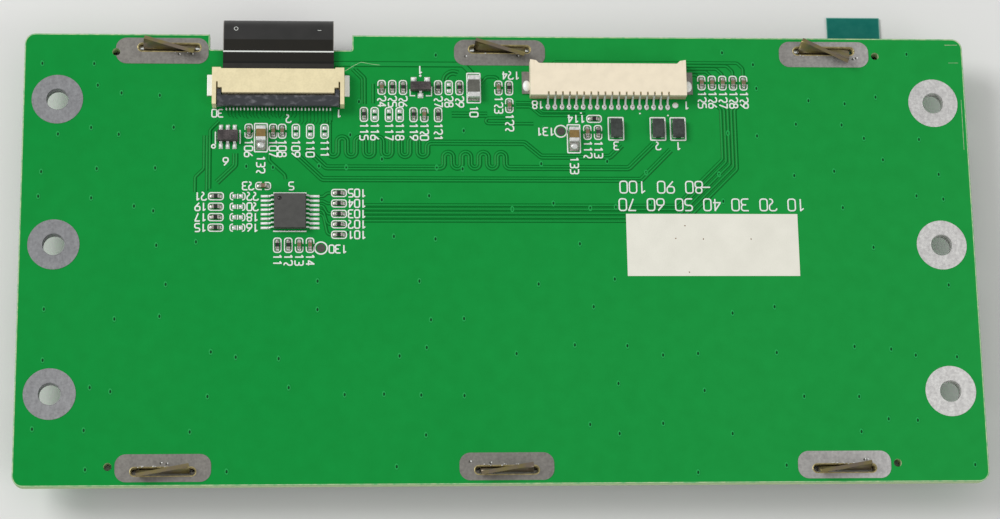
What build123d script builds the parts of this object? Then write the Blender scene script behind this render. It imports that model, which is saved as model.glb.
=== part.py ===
"""Touchscreen display module, lying on its screen with the circuit board on top.

Millimetres. X runs along the board, Y towards the edge with the flex, Z up from the
resting face of the protective film. X and Y are measured from the board's centre.
"""

from build123d import *
import os

# Circuit board
board_length = 133.0
board_width = 64.1
board_thickness = 1.6
board_corner = 1.5
notch_width = 20.0
notch_depth = 2.25
notch_x = -30.8
notch_corner = 0.35

# Mounting holes: two columns of three, each with a tinned ring
hole_radius = 1.6
hole_inset = 4.7
hole_pitch = 20.9
hole_row_offset = 1.5
ring_radius = 3.55
land_thickness = 0.05

# Locating holes beside the outer slots
locating_hole_radius = 0.55
locating_hole_gap = 0.95
locating_hole_drop = 0.7

# Stamped bezel, its window and its six twisted tabs
sheet = 0.5
bezel_end_margin = 9.5
tab_inset = 1.95
corner_relief = 0.8
bezel_bend = 0.6
window_side_border = 6.8
window_lower_border = 2.35
window_upper_border = 4.05
tab_width = 7.2
tab_pitch = 46.4
tab_rise = 1.4
upper_tab_twists = (17, 18, 27)
lower_tab_twists = (11, 10, 10)
upper_tab_leans = (0.0, 0.1, 0.35)
slot_length = 8.7
slot_play = 0.3
land_length = 12.9
land_width = 3.8
land_corner = 1.5
land_shift = 0.5
first_land_offset = -1.0
hook_length = 4.0
hook_height = 0.8
hook_play = 0.15
hook_pitch = 46.4
hook_beside_flex = 5.8
hook_bite = 0.4
end_hook_pitch = 30.0

# Layers from the resting face up
protective_thickness = 0.10
touch_film_thickness = 0.20
spacer_thickness = 0.10
touch_glass_thickness = 1.10
touch_tape_thickness = 0.30
gasket_thickness = 0.30
polariser_thickness = 0.20
glass_thickness = 0.50
rear_polariser_thickness = 0.15
prism_thickness = 0.15
diffuser_thickness = 0.15
guide_thickness = 0.80
reflector_thickness = 0.15
rear_tape_thickness = 0.50

# Touch panel
touch_end_margin = 1.0
touch_side_margin = 0.95
touch_tape_border = 1.4
spacer_border = 1.3
film_margin = 0.2

# Protective film and its pull tab
pull_tab_width = 7.8
pull_tab_length = 7.9
pull_tab_thickness = 0.08
pull_tab_from_end = 4.6
pull_tab_gap = 0.4
pull_tab_lap = 1.5

# Display cell and backlight
frame_play = 0.15
frame_wall = 0.6
frame_end_wall = 2.2
frame_shelf = 0.8
glass_play = 0.1
ledge_width = 2.3
cell_border = 1.0
polariser_lap = 0.1
film_inset = 0.2
gasket_width = 1.4
gasket_side_width = 0.5
led_count = 8
led_strip_margin = 2.6
led_length = 3.6
led_depth = 0.8
led_bay = 1.6
led_strip_thickness = 0.12
chip_length = 20.0
chip_width = 1.1
chip_height = 0.25
chip_x = 4.0
rear_tape_width = 8.0
rear_tape_length = 92.0

# Display flex and the tail of the touch panel
flex_width = 15.5
flex_shift = -0.35
flex_thickness = 0.12
flex_bond = 1.3
flex_bend_gap = 1.7
flex_play = 0.35
flex_stop = 0.35
stiffener_length = 4.2
stiffener_thickness = 0.18
tail_width = 5.0
tail_thickness = 0.08
tail_bend = 0.55

# Flip-lock flex socket; its heights are measured from the board
socket_length = 18.4
socket_depth = 5.4
socket_height = 2.0
socket_gap = 3.2
socket_lift = 0.05
socket_arm = 0.58
socket_mouth_floor = 0.75
socket_mouth_height = 0.42
socket_mouth_play = 0.2
socket_mouth_setback = 0.18
socket_cover_depth = 3.7
cover_notch_width = 0.8
cover_notch_depth = 0.75
cover_slit_width = 0.22
cover_slit_depth = 1.6
contact_count = 30
contact_pitch = 0.5
contact_width = 0.18
contact_thickness = 0.12
contact_play = 0.04
contact_floor = 0.28
contact_top = 0.52
contact_reach = 4.2
contact_foot = 0.2
contact_heel = 0.2
socket_tab_reach = 0.75
socket_tab_offset = 0.6
socket_tab_length = 3.1

# Lock of the socket
lock_play = 0.12
lock_radius = 0.42
lock_height = 1.38
lock_flap = 1.32
lock_flap_thickness = 0.78
lock_chamfer = 0.12
lock_pin_radius = 0.22
lock_pin_length = 0.34
lock_pin_play = 0.1
lock_arm_reach = 0.55
lock_arm_half = 0.25

# Wire header; its heights are measured from the board
header_x = 15.2
header_length = 22.1
header_depth = 4.7
header_height = 2.0
header_lift = 0.1
header_from_edge = 4.58
header_wall = 0.4
header_back = 0.9
header_ear_width = 0.85
header_ear_reach = 0.55
header_ear_tip = 0.15
header_ear_slope = 0.4
slot_top_depth = 0.5
pin_count = 18
pin_pitch = 1.0
pin_width = 0.26
pin_height = 0.3
pin_level = 0.95
pin_foot = 1.42
pin_foot_thickness = 0.18
pin_leg_setback = 0.2
pin_leg_rise = 0.2
pin_tip_inset = 1.2
header_tab_length = 3.25
header_tab_reach = 1.08
header_tab_offset = 0.7
tab_metal = 0.2

# Rows of small parts, measured from the board's upper edge
row_header_caps = 6.8
row_upper = 7.7
row_upper_lower = 10.3
row_second = 11.7
row_third = 14.2
row_under_touch = 30.65
row_step = 1.5
touch_rows_top = 23.65
right_rows_top = 23.15
lone_cap_row = 22.15
header_resistor_row = 12.2

# Columns of small parts, measured from the board's middle
left_column = -39.7
empty_column = -36.7
right_column = -22.7
lone_cap_column = -33.2
first_header_cap = 28.65
header_resistor_column = 13.2
diode_column = 13.7
upper_resistors = (-15.2, -13.7, -8.75, -5.75, 1.25)
second_resistors = (-19.2, -12.25, -8.8)
touch_resistors = (-31.2, -29.7)
upper_capacitors = (-16.7, -0.25)
lower_capacitors = (1.25,)
second_capacitors = (-10.75,)
third_capacitors = (-35.25, -31.85, -30.6, 12.2)
touch_capacitors = (-28.2, -26.7)
upper_empties = (-7.25,)
second_empties = (-17.7, -15.7, -14.2)
third_empties = (-28.7, -26.7, -24.7)
left_row_count = 4
right_row_count = 5
header_cap_count = 5

# Chip parts of the small size
small_length = 1.0
small_width = 0.5
resistor_height = 0.35
capacitor_height = 0.5
end_length = 0.25
end_proud = 0.02
pad_length = 0.55
pad_width = 0.6
pad_spacing = 0.95
pad_thickness = 0.04
fillet_reach = 0.28
fillet_low = (0.45, 0.2)
fillet_high = (0.15, 0.5)

# Chip parts of the large size
large_length = 2.1
large_width = 1.3
large_height = 1.2
large_end = 0.5
large_drop = 14.75
large_columns = (-33.55, 10.25)
large_fillet_height = 0.6
large_solder_length = 1.15
large_solder_height = 0.55
mound_crown = (0.6, 0.9)
mound_toe = (0.2, 0.45)
inductor_length = 3.2
inductor_width = 1.6
inductor_height = 1.1
inductor_end = 0.7
inductor_column = -3.75
inductor_fillet_height = 0.5
choke_length = 2.6
choke_width = 1.6
choke_height = 0.9
choke_terminal = 0.45
choke_drop = 13.7
choke_columns = (16.25, 22.2, 25.05)

# Leaded packages: body length along its rows of leads, body width, height
touch_chip_length = 5.0
touch_chip_width = 4.4
touch_chip_height = 1.05
touch_chip_column = -29.47
touch_chip_drop = 25.9
touch_lead_pitch = 0.65
touch_lead_count = 8
touch_lead_span = 6.4
touch_lead_width = 0.24
touch_pad_reach = 0.85
converter_length = 2.9
converter_width = 1.6
converter_height = 1.1
converter_span = 2.9
converter_column = -38.15
converter_drop = 15.05
small_lead_pitch = 0.95
small_lead_width = 0.4
transistor_width = 1.3
transistor_span = 2.5
transistor_column = -11.25
package_standoff = 0.1
package_taper = 7
lead_thickness = 0.15
foot_length = 0.45
lead_knee = 0.45
lead_lean = 0.05
touch_pad_side = 0.05
converter_pad_side = 0.075
transistor_pad_side = 0.2
small_pad_reach = 0.3

# White printed block and test pads
print_length = 24.2
print_width = 8.95
print_thickness = 0.03
print_x = 29.4
print_from_edge = 30.55
test_pad_radius = 0.6
test_pad_places = ((8.45, 14.05), (-25.2, 31.05))

# Levels worked out from the layers
touch_film_z = protective_thickness
spacer_z = touch_film_z + touch_film_thickness
touch_glass_z = spacer_z + spacer_thickness
touch_tape_z = touch_glass_z + touch_glass_thickness
bezel_z = touch_tape_z + touch_tape_thickness
lip_z = bezel_z + sheet
cell_z = lip_z + gasket_thickness
tft_z = cell_z + glass_thickness
rear_polariser_z = tft_z + glass_thickness
prism_z = rear_polariser_z + rear_polariser_thickness
diffuser_z = prism_z + prism_thickness
guide_z = diffuser_z + diffuser_thickness
reflector_z = guide_z + guide_thickness
rear_tape_z = reflector_z + reflector_thickness
board_z = rear_tape_z + rear_tape_thickness
top_z = board_z + board_thickness

# Places worked out from the board and the bezel
board_edge = board_width / 2
notch_edge = board_edge - notch_depth
hole_x = board_length / 2 - hole_inset
hole_rows = [hole_row_offset + hole_pitch * row for row in (-1, 0, 1)]
bezel_length = board_length - 2 * bezel_end_margin
tab_y = board_edge - tab_inset
bezel_width = 2 * tab_y + sheet
flex_bend_start = bezel_width / 2 + flex_bend_gap
tab_columns = [tab_pitch * column for column in (-1, 0, 1)]
window_length = bezel_length - 2 * window_side_border
window_low = -bezel_width / 2 + window_lower_border
window_high = bezel_width / 2 - window_upper_border
window_width = window_high - window_low
window_y = (window_high + window_low) / 2
touch_length = bezel_length - 2 * touch_end_margin
touch_width = bezel_width - 2 * touch_side_margin
frame_length = bezel_length - 2 * sheet - 2 * frame_play
frame_width = bezel_width - 2 * sheet - 2 * frame_play
glass_length = frame_length - 2 * frame_end_wall - 2 * glass_play
glass_width = frame_width - 2 * frame_wall - 2 * glass_play
bay_length = glass_length - 2 * frame_shelf
bay_width = glass_width - 2 * frame_shelf
led_pitch = (bay_width - 2 * led_strip_margin) / led_count
cell_width = glass_width - ledge_width
cell_y = -ledge_width / 2
flex_x = notch_x + flex_shift
flex_z = tft_z - flex_thickness / 2
socket_y = notch_edge - socket_gap - socket_depth / 2
socket_front = socket_y + socket_depth / 2
socket_back = socket_y - socket_depth / 2
socket_mouth_z = top_z + socket_mouth_floor
cover_back = socket_front - socket_cover_depth
lock_length = socket_length - 2 * socket_arm - 2 * lock_play
lock_y = cover_back - lock_play - lock_radius
lock_z = top_z + lock_height
header_y = board_edge - header_from_edge - header_depth / 2
header_back_y = header_y - header_depth / 2
header_front_y = header_y + header_depth / 2


def plate(length, width, thickness, x=0.0, y=0.0, z=0.0, corner=0.0):
    """Flat plate whose underside lies at z."""
    outline = RectangleRounded(length, width, corner) if corner else Rectangle(length, width)
    return Pos(x, y, z) * extrude(outline, thickness)


def disc(radius, thickness, x, y, z):
    """Round plate whose underside lies at z."""
    return Pos(x, y, z) * extrude(Circle(radius), thickness)


def prism_along_x(outline, width, x=0.0):
    """Solid with one outline of (y, z) points, centred on x."""
    return Pos(x, 0, 0) * extrude(Plane.YZ * Polygon(*outline, align=None), width / 2, both=True)


def group(parts):
    """Separate solids that share one node."""
    return Compound([solid for part in parts for solid in part.solids()])


def from_edge(distance):
    """Place along Y at a distance below the board's upper edge."""
    return board_edge - distance


def slot_sites():
    """Places of the six tab slots as (x, y, side)."""
    return [(x, side * tab_y, side) for side in (1, -1) for x in tab_columns]


def hole_sites():
    """Places of the six mounting holes."""
    return [(side * hole_x, y) for side in (-1, 1) for y in hole_rows]


def slot_cut(x, y, height):
    """Rounded slot that clears one bezel tab, cut upwards from the underside of the board."""
    return Pos(x, y, board_z) * extrude(SlotOverall(slot_length, sheet + 2 * slot_play), height)


def circuit_board():
    """Board with its flex notch, mounting holes, tab slots and locating holes."""
    board = plate(board_length, board_width, board_thickness, z=board_z, corner=board_corner)
    notch_height = 2 * notch_depth
    notch = plate(notch_width, notch_height, board_thickness, notch_x, board_edge, board_z, notch_corner)
    board -= notch
    for x, y in hole_sites():
        board -= disc(hole_radius, board_thickness, x, y, board_z)
    for x, y, side in slot_sites():
        board -= slot_cut(x, y, board_thickness)
    for x, y in locating_sites():
        board -= disc(locating_hole_radius, board_thickness, x, y, board_z)
    return board


def ring_lands():
    """Tinned ring round the top of each mounting hole."""
    rings = []
    for x, y in hole_sites():
        ring = disc(ring_radius, land_thickness, x, y, top_z)
        rings.append(ring - disc(hole_radius, land_thickness, x, y, top_z))
    return group(rings)


def locating_sites():
    """Places of the four small locating holes beside the outer slots."""
    x = tab_pitch + land_length / 2 + locating_hole_gap
    y = tab_y - locating_hole_drop
    return [(side_x * x, side_y * y) for side_x in (-1, 1) for side_y in (-1, 1)]


def slot_lands():
    """Tinned oval round the top of each tab slot; the first sits off its slot, over a locating hole."""
    lands = []
    for index, (x, y, side) in enumerate(slot_sites()):
        oval_x = x + (first_land_offset if index == 0 else 0)
        oval_y = y - side * land_shift
        land = plate(land_length, land_width, land_thickness, oval_x, oval_y, top_z, land_corner)
        land -= slot_cut(x, y, board_thickness + land_thickness)
        for hole_at_x, hole_at_y in locating_sites():
            land -= disc(locating_hole_radius, land_thickness, hole_at_x, hole_at_y, top_z)
        lands.append(land)
    return group(lands)


def twisted_tab(x, y, turn, lean):
    """Tab that runs up through its slot, then twists and leans above the board."""
    base_z = top_z + land_thickness
    straight = plate(tab_width, sheet, base_z - board_z, x, y, board_z)
    shares = (0, 0.5, 1)
    sections = []
    for share in shares:
        place = Pos(x, y - lean * share, base_z + tab_rise * share) * Rot(0, 0, turn * share)
        sections.append(place * Rectangle(tab_width, sheet))
    return straight + loft(sections)


def hook_windows():
    """Places of the latch windows in the bezel walls: (x, y, length along x, length along y)."""
    windows = []
    long_y = bezel_width / 2 - sheet / 2
    for x in (-hook_pitch / 2, hook_pitch / 2):
        windows.append((x, -long_y, hook_length, sheet))
        windows.append((x if x > 0 else hook_beside_flex, long_y, hook_length, sheet))
    end_x = bezel_length / 2 - sheet / 2
    for y in (-end_hook_pitch / 2, end_hook_pitch / 2):
        windows.append((-end_x, y, sheet, hook_length))
        windows.append((end_x, y, sheet, hook_length))
    return windows


def bezel_frame():
    """Folded frame: lip round the window, four walls, latch windows and six tabs."""
    shell = plate(bezel_length, bezel_width, board_z - bezel_z, z=bezel_z)
    shell = fillet(shell.faces().sort_by(Axis.Z)[0].edges(), bezel_bend)
    pocket_length = bezel_length - 2 * sheet
    pocket_width = bezel_width - 2 * sheet
    shell -= plate(pocket_length, pocket_width, board_z - lip_z, z=lip_z)
    shell -= plate(window_length, window_width, sheet, y=window_y, z=bezel_z)
    for x in (-bezel_length / 2, bezel_length / 2):
        for y in (-bezel_width / 2, bezel_width / 2):
            shell -= plate(2 * corner_relief, 2 * corner_relief, board_z - bezel_z, x, y, bezel_z)
    exit_width = flex_width + 2 * flex_play
    exit_z = flex_z - flex_play
    shell -= plate(exit_width, 4 * sheet, board_z - exit_z, flex_x, bezel_width / 2, exit_z)
    window_z = (cell_z + rear_tape_z) / 2 - hook_height / 2
    for x, y, along_x, along_y in hook_windows():
        reach = 2 * sheet
        long_side = max(along_x, along_y) + 2 * hook_play
        cut_x = long_side if along_x > along_y else reach
        cut_y = reach if along_x > along_y else long_side
        shell -= plate(cut_x, cut_y, hook_height + 2 * hook_play, x, y, window_z - hook_play)
    turns = [-twist for twist in upper_tab_twists] + list(lower_tab_twists)
    leans = list(upper_tab_leans) + [0.0 for twist in lower_tab_twists]
    for (x, y, side), turn, lean in zip(slot_sites(), turns, leans):
        shell += twisted_tab(x, y, turn, lean)
    return shell


def protective_film():
    """Film over the touch panel with an ear that carries the pull tab."""
    film = plate(touch_length, touch_width, protective_thickness)
    ear_x = bezel_length / 2 - pull_tab_from_end
    ear_length = pull_tab_gap + pull_tab_lap
    ear = plate(pull_tab_width, 2 * ear_length, protective_thickness, ear_x, touch_width / 2)
    return film + ear


def pull_tab():
    """Strip of coloured film bonded to the ear of the protective film."""
    x = bezel_length / 2 - pull_tab_from_end
    y = touch_width / 2 + pull_tab_gap + pull_tab_length / 2
    return plate(pull_tab_width, pull_tab_length, pull_tab_thickness, x, y, protective_thickness)


def touch_film():
    """Flexible upper sheet of the touch panel."""
    length = touch_length - 2 * film_margin
    return plate(length, touch_width - 2 * film_margin, touch_film_thickness, z=touch_film_z)


def touch_spacer():
    """Adhesive ring between the touch film and the touch glass, open at the tail."""
    length = touch_length - 2 * film_margin
    width = touch_width - 2 * film_margin
    ring = plate(length, width, spacer_thickness, z=spacer_z)
    inner_length = length - 2 * spacer_border
    ring -= plate(inner_length, width - 2 * spacer_border, spacer_thickness, z=spacer_z)
    gap = tail_width + 2 * film_margin
    return ring - plate(gap, 4 * spacer_border, spacer_thickness, flex_x, width / 2, spacer_z)


def touch_glass():
    """Rigid lower sheet of the touch panel."""
    return plate(touch_length, touch_width, touch_glass_thickness, z=touch_glass_z)


def touch_tape():
    """Tape ring between the touch glass and the lip of the bezel."""
    ring = plate(touch_length, touch_width, touch_tape_thickness, z=touch_tape_z)
    inner_length = touch_length - 2 * touch_tape_border
    inner_width = touch_width - 2 * touch_tape_border
    return ring - plate(inner_length, inner_width, touch_tape_thickness, z=touch_tape_z)


def touch_tail():
    """Tail of the touch panel: out of its edge, up past the bezel and onto the display flex."""
    start_z = spacer_z + tail_thickness / 2
    end_z = tft_z - flex_thickness - tail_thickness / 2
    start_y = touch_width / 2 - film_margin - spacer_border
    upright_y = bezel_width / 2 + tail_bend
    points = [
        (start_y, start_z),
        (upright_y, start_z),
        (upright_y, end_z),
        (flex_bend_start, end_z),
    ]
    route = FilletPolyline(*points, radius=tail_bend)
    return Pos(flex_x, 0, 0) * extrude(Plane.YZ * trace(route, tail_thickness), tail_width / 2, both=True)


def lcd_gasket():
    """Foam ring between the lip of the bezel and the display glass."""
    low = cell_y - cell_width / 2
    high = cell_y + cell_width / 2
    length = window_length + 2 * gasket_width + 2 * film_inset
    ring = plate(length, high - low, gasket_thickness, y=(low + high) / 2, z=lip_z)
    inner_length = length - 2 * gasket_width
    inner_width = high - low - 2 * gasket_side_width
    return ring - plate(inner_length, inner_width, gasket_thickness, y=(low + high) / 2, z=lip_z)


def front_polariser():
    """Polarising sheet on the front glass, seen through the window."""
    width = cell_width - 2 * gasket_side_width - 2 * film_inset
    length = window_length + 2 * (polariser_lap - film_inset)
    return plate(length, width, polariser_thickness, y=cell_y, z=cell_z - polariser_thickness)


def colour_filter_glass():
    """Front glass of the display cell."""
    return plate(glass_length - 2 * cell_border, cell_width, glass_thickness, y=cell_y, z=cell_z)


def tft_glass():
    """Rear glass of the display cell, with a ledge for the driver chip and the flex."""
    return plate(glass_length, glass_width, glass_thickness, z=tft_z)


def driver_chip():
    """Bare driver chip on the ledge of the rear glass."""
    y = glass_width / 2 - ledge_width / 2
    return plate(chip_length, chip_width, chip_height, chip_x, y, tft_z - chip_height)


def rear_polariser():
    """Polarising sheet on the rear glass."""
    length = bay_length - 2 * film_inset
    return plate(length, bay_width - 2 * film_inset, rear_polariser_thickness, z=rear_polariser_z)


def backlight_frame():
    """Moulded frame that holds the glass and the light guide, with latch hooks outside."""
    frame = plate(frame_length, frame_width, rear_tape_z - cell_z, z=cell_z)
    pocket_length = glass_length + 2 * glass_play
    pocket_width = glass_width + 2 * glass_play
    frame -= plate(pocket_length, pocket_width, rear_polariser_z - cell_z, z=cell_z)
    frame -= plate(bay_length, bay_width, rear_tape_z - rear_polariser_z, z=rear_polariser_z)
    relief_width = flex_width + 2 * flex_play
    frame -= plate(relief_width, 4 * frame_wall, tft_z - cell_z, flex_x, frame_width / 2, cell_z)
    hook_z = (cell_z + rear_tape_z) / 2 - hook_height / 2
    reach = frame_play + hook_bite
    for x, y, along_x, along_y in hook_windows():
        if along_x > along_y:
            side = 1 if y > 0 else -1
            hook_y = side * (frame_width / 2 + reach / 2)
            frame += plate(hook_length, reach, hook_height, x, hook_y, hook_z)
        else:
            side = 1 if x > 0 else -1
            hook_x = side * (frame_length / 2 + reach / 2)
            frame += plate(reach, hook_length, hook_height, hook_x, y, hook_z)
    return frame


def backlight_sheet(thickness, z, inset):
    """Sheet inside the backlight frame that stops short of the LED bay."""
    length = bay_length - led_bay - 2 * inset
    return plate(length, bay_width - 2 * inset, thickness, led_bay / 2, 0, z)


def backlight_leds():
    """Side-firing LEDs along one short edge of the light guide."""
    x = -bay_length / 2 + led_bay - led_depth / 2 - film_inset / 2
    top = reflector_z + reflector_thickness - led_strip_thickness
    height = top - diffuser_z
    middle = (led_count - 1) / 2
    leds = []
    for index in range(led_count):
        y = (index - middle) * led_pitch
        leds.append(plate(led_depth, led_length, height, x, y, diffuser_z))
    return group(leds)


def led_strip():
    """Flexible strip that carries the LEDs."""
    x = -bay_length / 2 + led_bay / 2
    z = reflector_z + reflector_thickness - led_strip_thickness
    length = led_count * led_pitch
    return plate(led_bay - 2 * film_inset, length, led_strip_thickness, x, 0, z)


def rear_tape():
    """Two foam tape strips between the backlight and the board."""
    y = bay_width / 2 - rear_tape_width
    strips = [plate(rear_tape_length, rear_tape_width, rear_tape_thickness, 0, side * y, rear_tape_z)
              for side in (-1, 1)]
    return group(strips)


def flex_route():
    """Middle line of the display flex as (y, z): glass ledge, bend, socket."""
    upper_z = socket_mouth_z + socket_mouth_floor_gap() + flex_thickness / 2
    bend = (upper_z - flex_z) / 2
    start_y = glass_width / 2 - flex_bond
    end_y = cover_back + flex_stop
    lower = Line((start_y, flex_z), (flex_bend_start, flex_z))
    curve = ThreePointArc(
        (flex_bend_start, flex_z),
        (flex_bend_start + bend, (flex_z + upper_z) / 2),
        (flex_bend_start, upper_z),
    )
    upper = Line((flex_bend_start, upper_z), (end_y, upper_z))
    return lower + curve + upper


def socket_mouth_floor_gap():
    """Height of the flex above the floor of the socket's mouth."""
    return (socket_mouth_height - flex_thickness - stiffener_thickness) / 2


def display_flex():
    """Flex from the rear glass, round the upper edge and into the socket."""
    section = Plane.YZ * trace(flex_route(), flex_thickness)
    return Pos(flex_x, 0, 0) * extrude(section, flex_width / 2, both=True)


def flex_stiffener():
    """Stiff backing on the end of the flex inside the socket."""
    z = socket_mouth_z + socket_mouth_floor_gap() + flex_thickness
    low = cover_back + flex_stop
    return plate(flex_width, stiffener_length, stiffener_thickness, flex_x, low + stiffener_length / 2, z)


def contact_columns():
    """Middle of each contact of the socket."""
    middle = (contact_count - 1) / 2
    return [flex_x + (index - middle) * contact_pitch for index in range(contact_count)]


def socket_housing():
    """Socket body: mouth for the flex, comb of contact grooves, arms recessed for the lock's pins."""
    height = socket_height - socket_lift
    body = plate(socket_length, socket_depth, height, flex_x, socket_y, top_z + socket_lift)
    mouth_width = flex_width + 2 * socket_mouth_play
    body -= plate(mouth_width, socket_depth, socket_mouth_height, flex_x, socket_y, socket_mouth_z)
    setback = 2 * socket_mouth_setback
    body -= plate(mouth_width, setback, socket_height, flex_x, socket_front, socket_mouth_z)
    bay_depth = cover_back - socket_back
    bay_width_x = socket_length - 2 * socket_arm
    bay_y = (cover_back + socket_back) / 2
    body -= plate(bay_width_x, bay_depth, socket_height, flex_x, bay_y, socket_mouth_z)
    step = socket_depth - socket_cover_depth - lock_radius
    body -= plate(bay_width_x, step, socket_height, flex_x, socket_back + step / 2, top_z)
    for side in (-1, 1):
        notch_centre = flex_x + side * (bay_width_x / 2 - cover_notch_width / 2)
        notch_run = cover_back + cover_notch_depth - socket_back
        notch_y = socket_back + notch_run / 2
        body -= plate(cover_notch_width, notch_run, socket_height, notch_centre, notch_y, top_z)
        slit_x = flex_x + side * (bay_width_x / 2 - cover_slit_width / 2)
        slit_y = cover_back + cover_slit_depth / 2
        body -= plate(cover_slit_width, cover_slit_depth, socket_height, slit_x, slit_y, socket_mouth_z)
    recess = 2 * (lock_pin_radius + lock_pin_play)
    recess_length = lock_length + 2 * (lock_pin_length + lock_pin_play)
    body -= plate(recess_length, recess, recess, flex_x, lock_y, lock_z - recess / 2)
    groove_depth = socket_mouth_floor - contact_floor + contact_play
    groove_low = socket_back
    groove_high = socket_back + contact_reach + socket_lift
    groove_y = (groove_low + groove_high) / 2
    groove_z = top_z + contact_floor - contact_play
    groove_width = contact_width + 2 * contact_play
    for x in contact_columns():
        body -= plate(groove_width, groove_high - groove_low, groove_depth, x, groove_y, groove_z)
    return body


def socket_contacts():
    """Thirty sprung contacts: foot on its pad, beam in its groove, nose under the flex."""
    foot_end = socket_back - contact_foot
    heel = socket_back + contact_heel
    beam_low = top_z + contact_floor
    nose_top = socket_mouth_z + socket_mouth_floor_gap() - contact_play / 2
    tip = socket_back + contact_reach
    outline = [
        (foot_end, top_z),
        (heel, top_z),
        (heel + contact_heel, beam_low),
        (tip, beam_low),
        (tip, nose_top),
        (heel, top_z + contact_top),
        (foot_end, top_z + contact_thickness),
    ]
    return group([prism_along_x(outline, contact_width, x) for x in contact_columns()])


def socket_lock():
    """Flip lock: round spine with a flat flap, and an arm and a pin at each end."""
    flap_z = lock_z + lock_radius - lock_flap_thickness
    spine = extrude(Plane.YZ * Circle(lock_radius), lock_length / 2, both=True)
    lock = Pos(flex_x, lock_y, lock_z) * spine
    lock += plate(lock_length, lock_flap, lock_flap_thickness, flex_x, lock_y - lock_flap / 2, flap_z)
    edge = lock.edges().filter_by(Axis.X).sort_by(Axis.Y)[:2]
    lock = chamfer(edge, lock_chamfer)
    arm_width = cover_notch_width - 2 * lock_play
    arm_length = cover_back + lock_arm_reach - lock_y
    arm_height = lock_arm_half + lock_radius
    arm_y = lock_y + arm_length / 2
    arm_z = lock_z - lock_arm_half
    for side in (-1, 1):
        arm_x = flex_x + side * (lock_length - arm_width) / 2
        lock += plate(arm_width, arm_length, arm_height, arm_x, arm_y, arm_z)
    pin = extrude(Plane.YZ * Circle(lock_pin_radius), lock_length / 2 + lock_pin_length, both=True)
    return lock + Pos(flex_x, lock_y, lock_z) * pin


def anchor_tabs(x, y, span, reach, length):
    """Pair of flat metal tabs soldered down beside a connector."""
    centre = span / 2 + reach / 2
    return group([plate(reach, length, tab_metal, x + side * centre, y, top_z + pad_thickness)
                  for side in (-1, 1)])


def socket_tabs():
    """Anchor tabs of the flex socket."""
    y = socket_y + socket_tab_offset
    return anchor_tabs(flex_x, y, socket_length, socket_tab_reach, socket_tab_length)


def pin_columns():
    """Middle of each pin of the wire header."""
    middle = (pin_count - 1) / 2
    return [header_x + (index - middle) * pin_pitch for index in range(pin_count)]


def header_housing():
    """Side-entry housing: open mouth towards the board's edge, ears, and a slot for each pin."""
    base_z = top_z + header_lift
    tall = header_height - header_lift
    body = plate(header_length, header_depth, tall, header_x, header_y, base_z)
    cavity_length = header_length - 2 * header_ear_width
    cavity_height = header_height - 2 * header_wall
    cavity_depth = header_depth - header_back
    cavity_y = header_front_y - cavity_depth / 2
    cavity_z = top_z + header_wall
    body -= plate(cavity_length, cavity_depth, cavity_height, header_x, cavity_y, cavity_z)
    for side in (-1, 1):
        outer = header_x + side * header_length / 2
        inner = outer - side * header_ear_width
        slope = inner - side * header_ear_slope
        high = header_front_y + header_ear_reach
        outline = Polygon((outer, header_front_y), (outer, high), (inner, high - header_ear_tip),
                          (slope, header_front_y), align=None)
        body += Pos(0, 0, base_z) * extrude(outline, tall, dir=(0, 0, 1))
    groove_height = pin_level + pin_height
    for x in pin_columns():
        body -= plate(pin_width, 2 * header_back, groove_height, x, header_back_y, top_z)
        body -= plate(pin_width, 2 * slot_top_depth, header_height, x, header_back_y, top_z)
    return body


def header_pins():
    """Eighteen bent pins: blade in the cavity, leg in its groove, foot on its pad."""
    foot_end = header_back_y - pin_foot
    foot_top = top_z + pin_foot_thickness
    blade_low = top_z + pin_level
    blade_top = blade_low + pin_height
    leg_low = header_back_y - pin_leg_setback
    tip = header_front_y - pin_tip_inset
    outline = [
        (foot_end, top_z),
        (leg_low, top_z),
        (header_back_y + pin_leg_rise + pin_height, blade_low),
        (tip, blade_low),
        (tip, blade_top),
        (header_back_y + pin_leg_rise, blade_top),
        (leg_low - pin_foot_thickness, foot_top),
        (foot_end, foot_top),
    ]
    return group([prism_along_x(outline, pin_width, x) for x in pin_columns()])


def header_tabs():
    """Anchor tabs of the wire header."""
    y = header_back_y + header_tab_length / 2 + header_tab_offset
    return anchor_tabs(header_x, y, header_length, header_tab_reach, header_tab_length)


def resistor_sites():
    """Fitted resistors as (x, y, lies along X)."""
    upper, second, third = from_edge(row_upper), from_edge(row_second), from_edge(row_under_touch)
    upright = [(x, upper) for x in upper_resistors]
    upright += [(x, second) for x in second_resistors]
    upright += [(x, third) for x in touch_resistors]
    sites = [(x, y, False) for x, y in upright]
    sites += [(left_column, from_edge(touch_rows_top + row_step * k), True) for k in range(left_row_count)]
    sites += [(right_column, from_edge(right_rows_top + row_step * k), True) for k in range(right_row_count)]
    sites.append((header_resistor_column, from_edge(header_resistor_row), True))
    return sites


def capacitor_sites():
    """Fitted small capacitors as (x, y, lies along X)."""
    rows = [
        (row_header_caps, [first_header_cap + row_step * k for k in range(header_cap_count)]),
        (row_upper, upper_capacitors),
        (row_upper_lower, lower_capacitors),
        (row_second, second_capacitors),
        (row_third, third_capacitors),
        (row_under_touch, touch_capacitors),
    ]
    sites = [(x, from_edge(drop), False) for drop, columns in rows for x in columns]
    sites.append((lone_cap_column, from_edge(lone_cap_row), True))
    return sites


def diode_sites():
    """The surge diode beside the header."""
    return [(diode_column, from_edge(row_third), False)]


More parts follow.
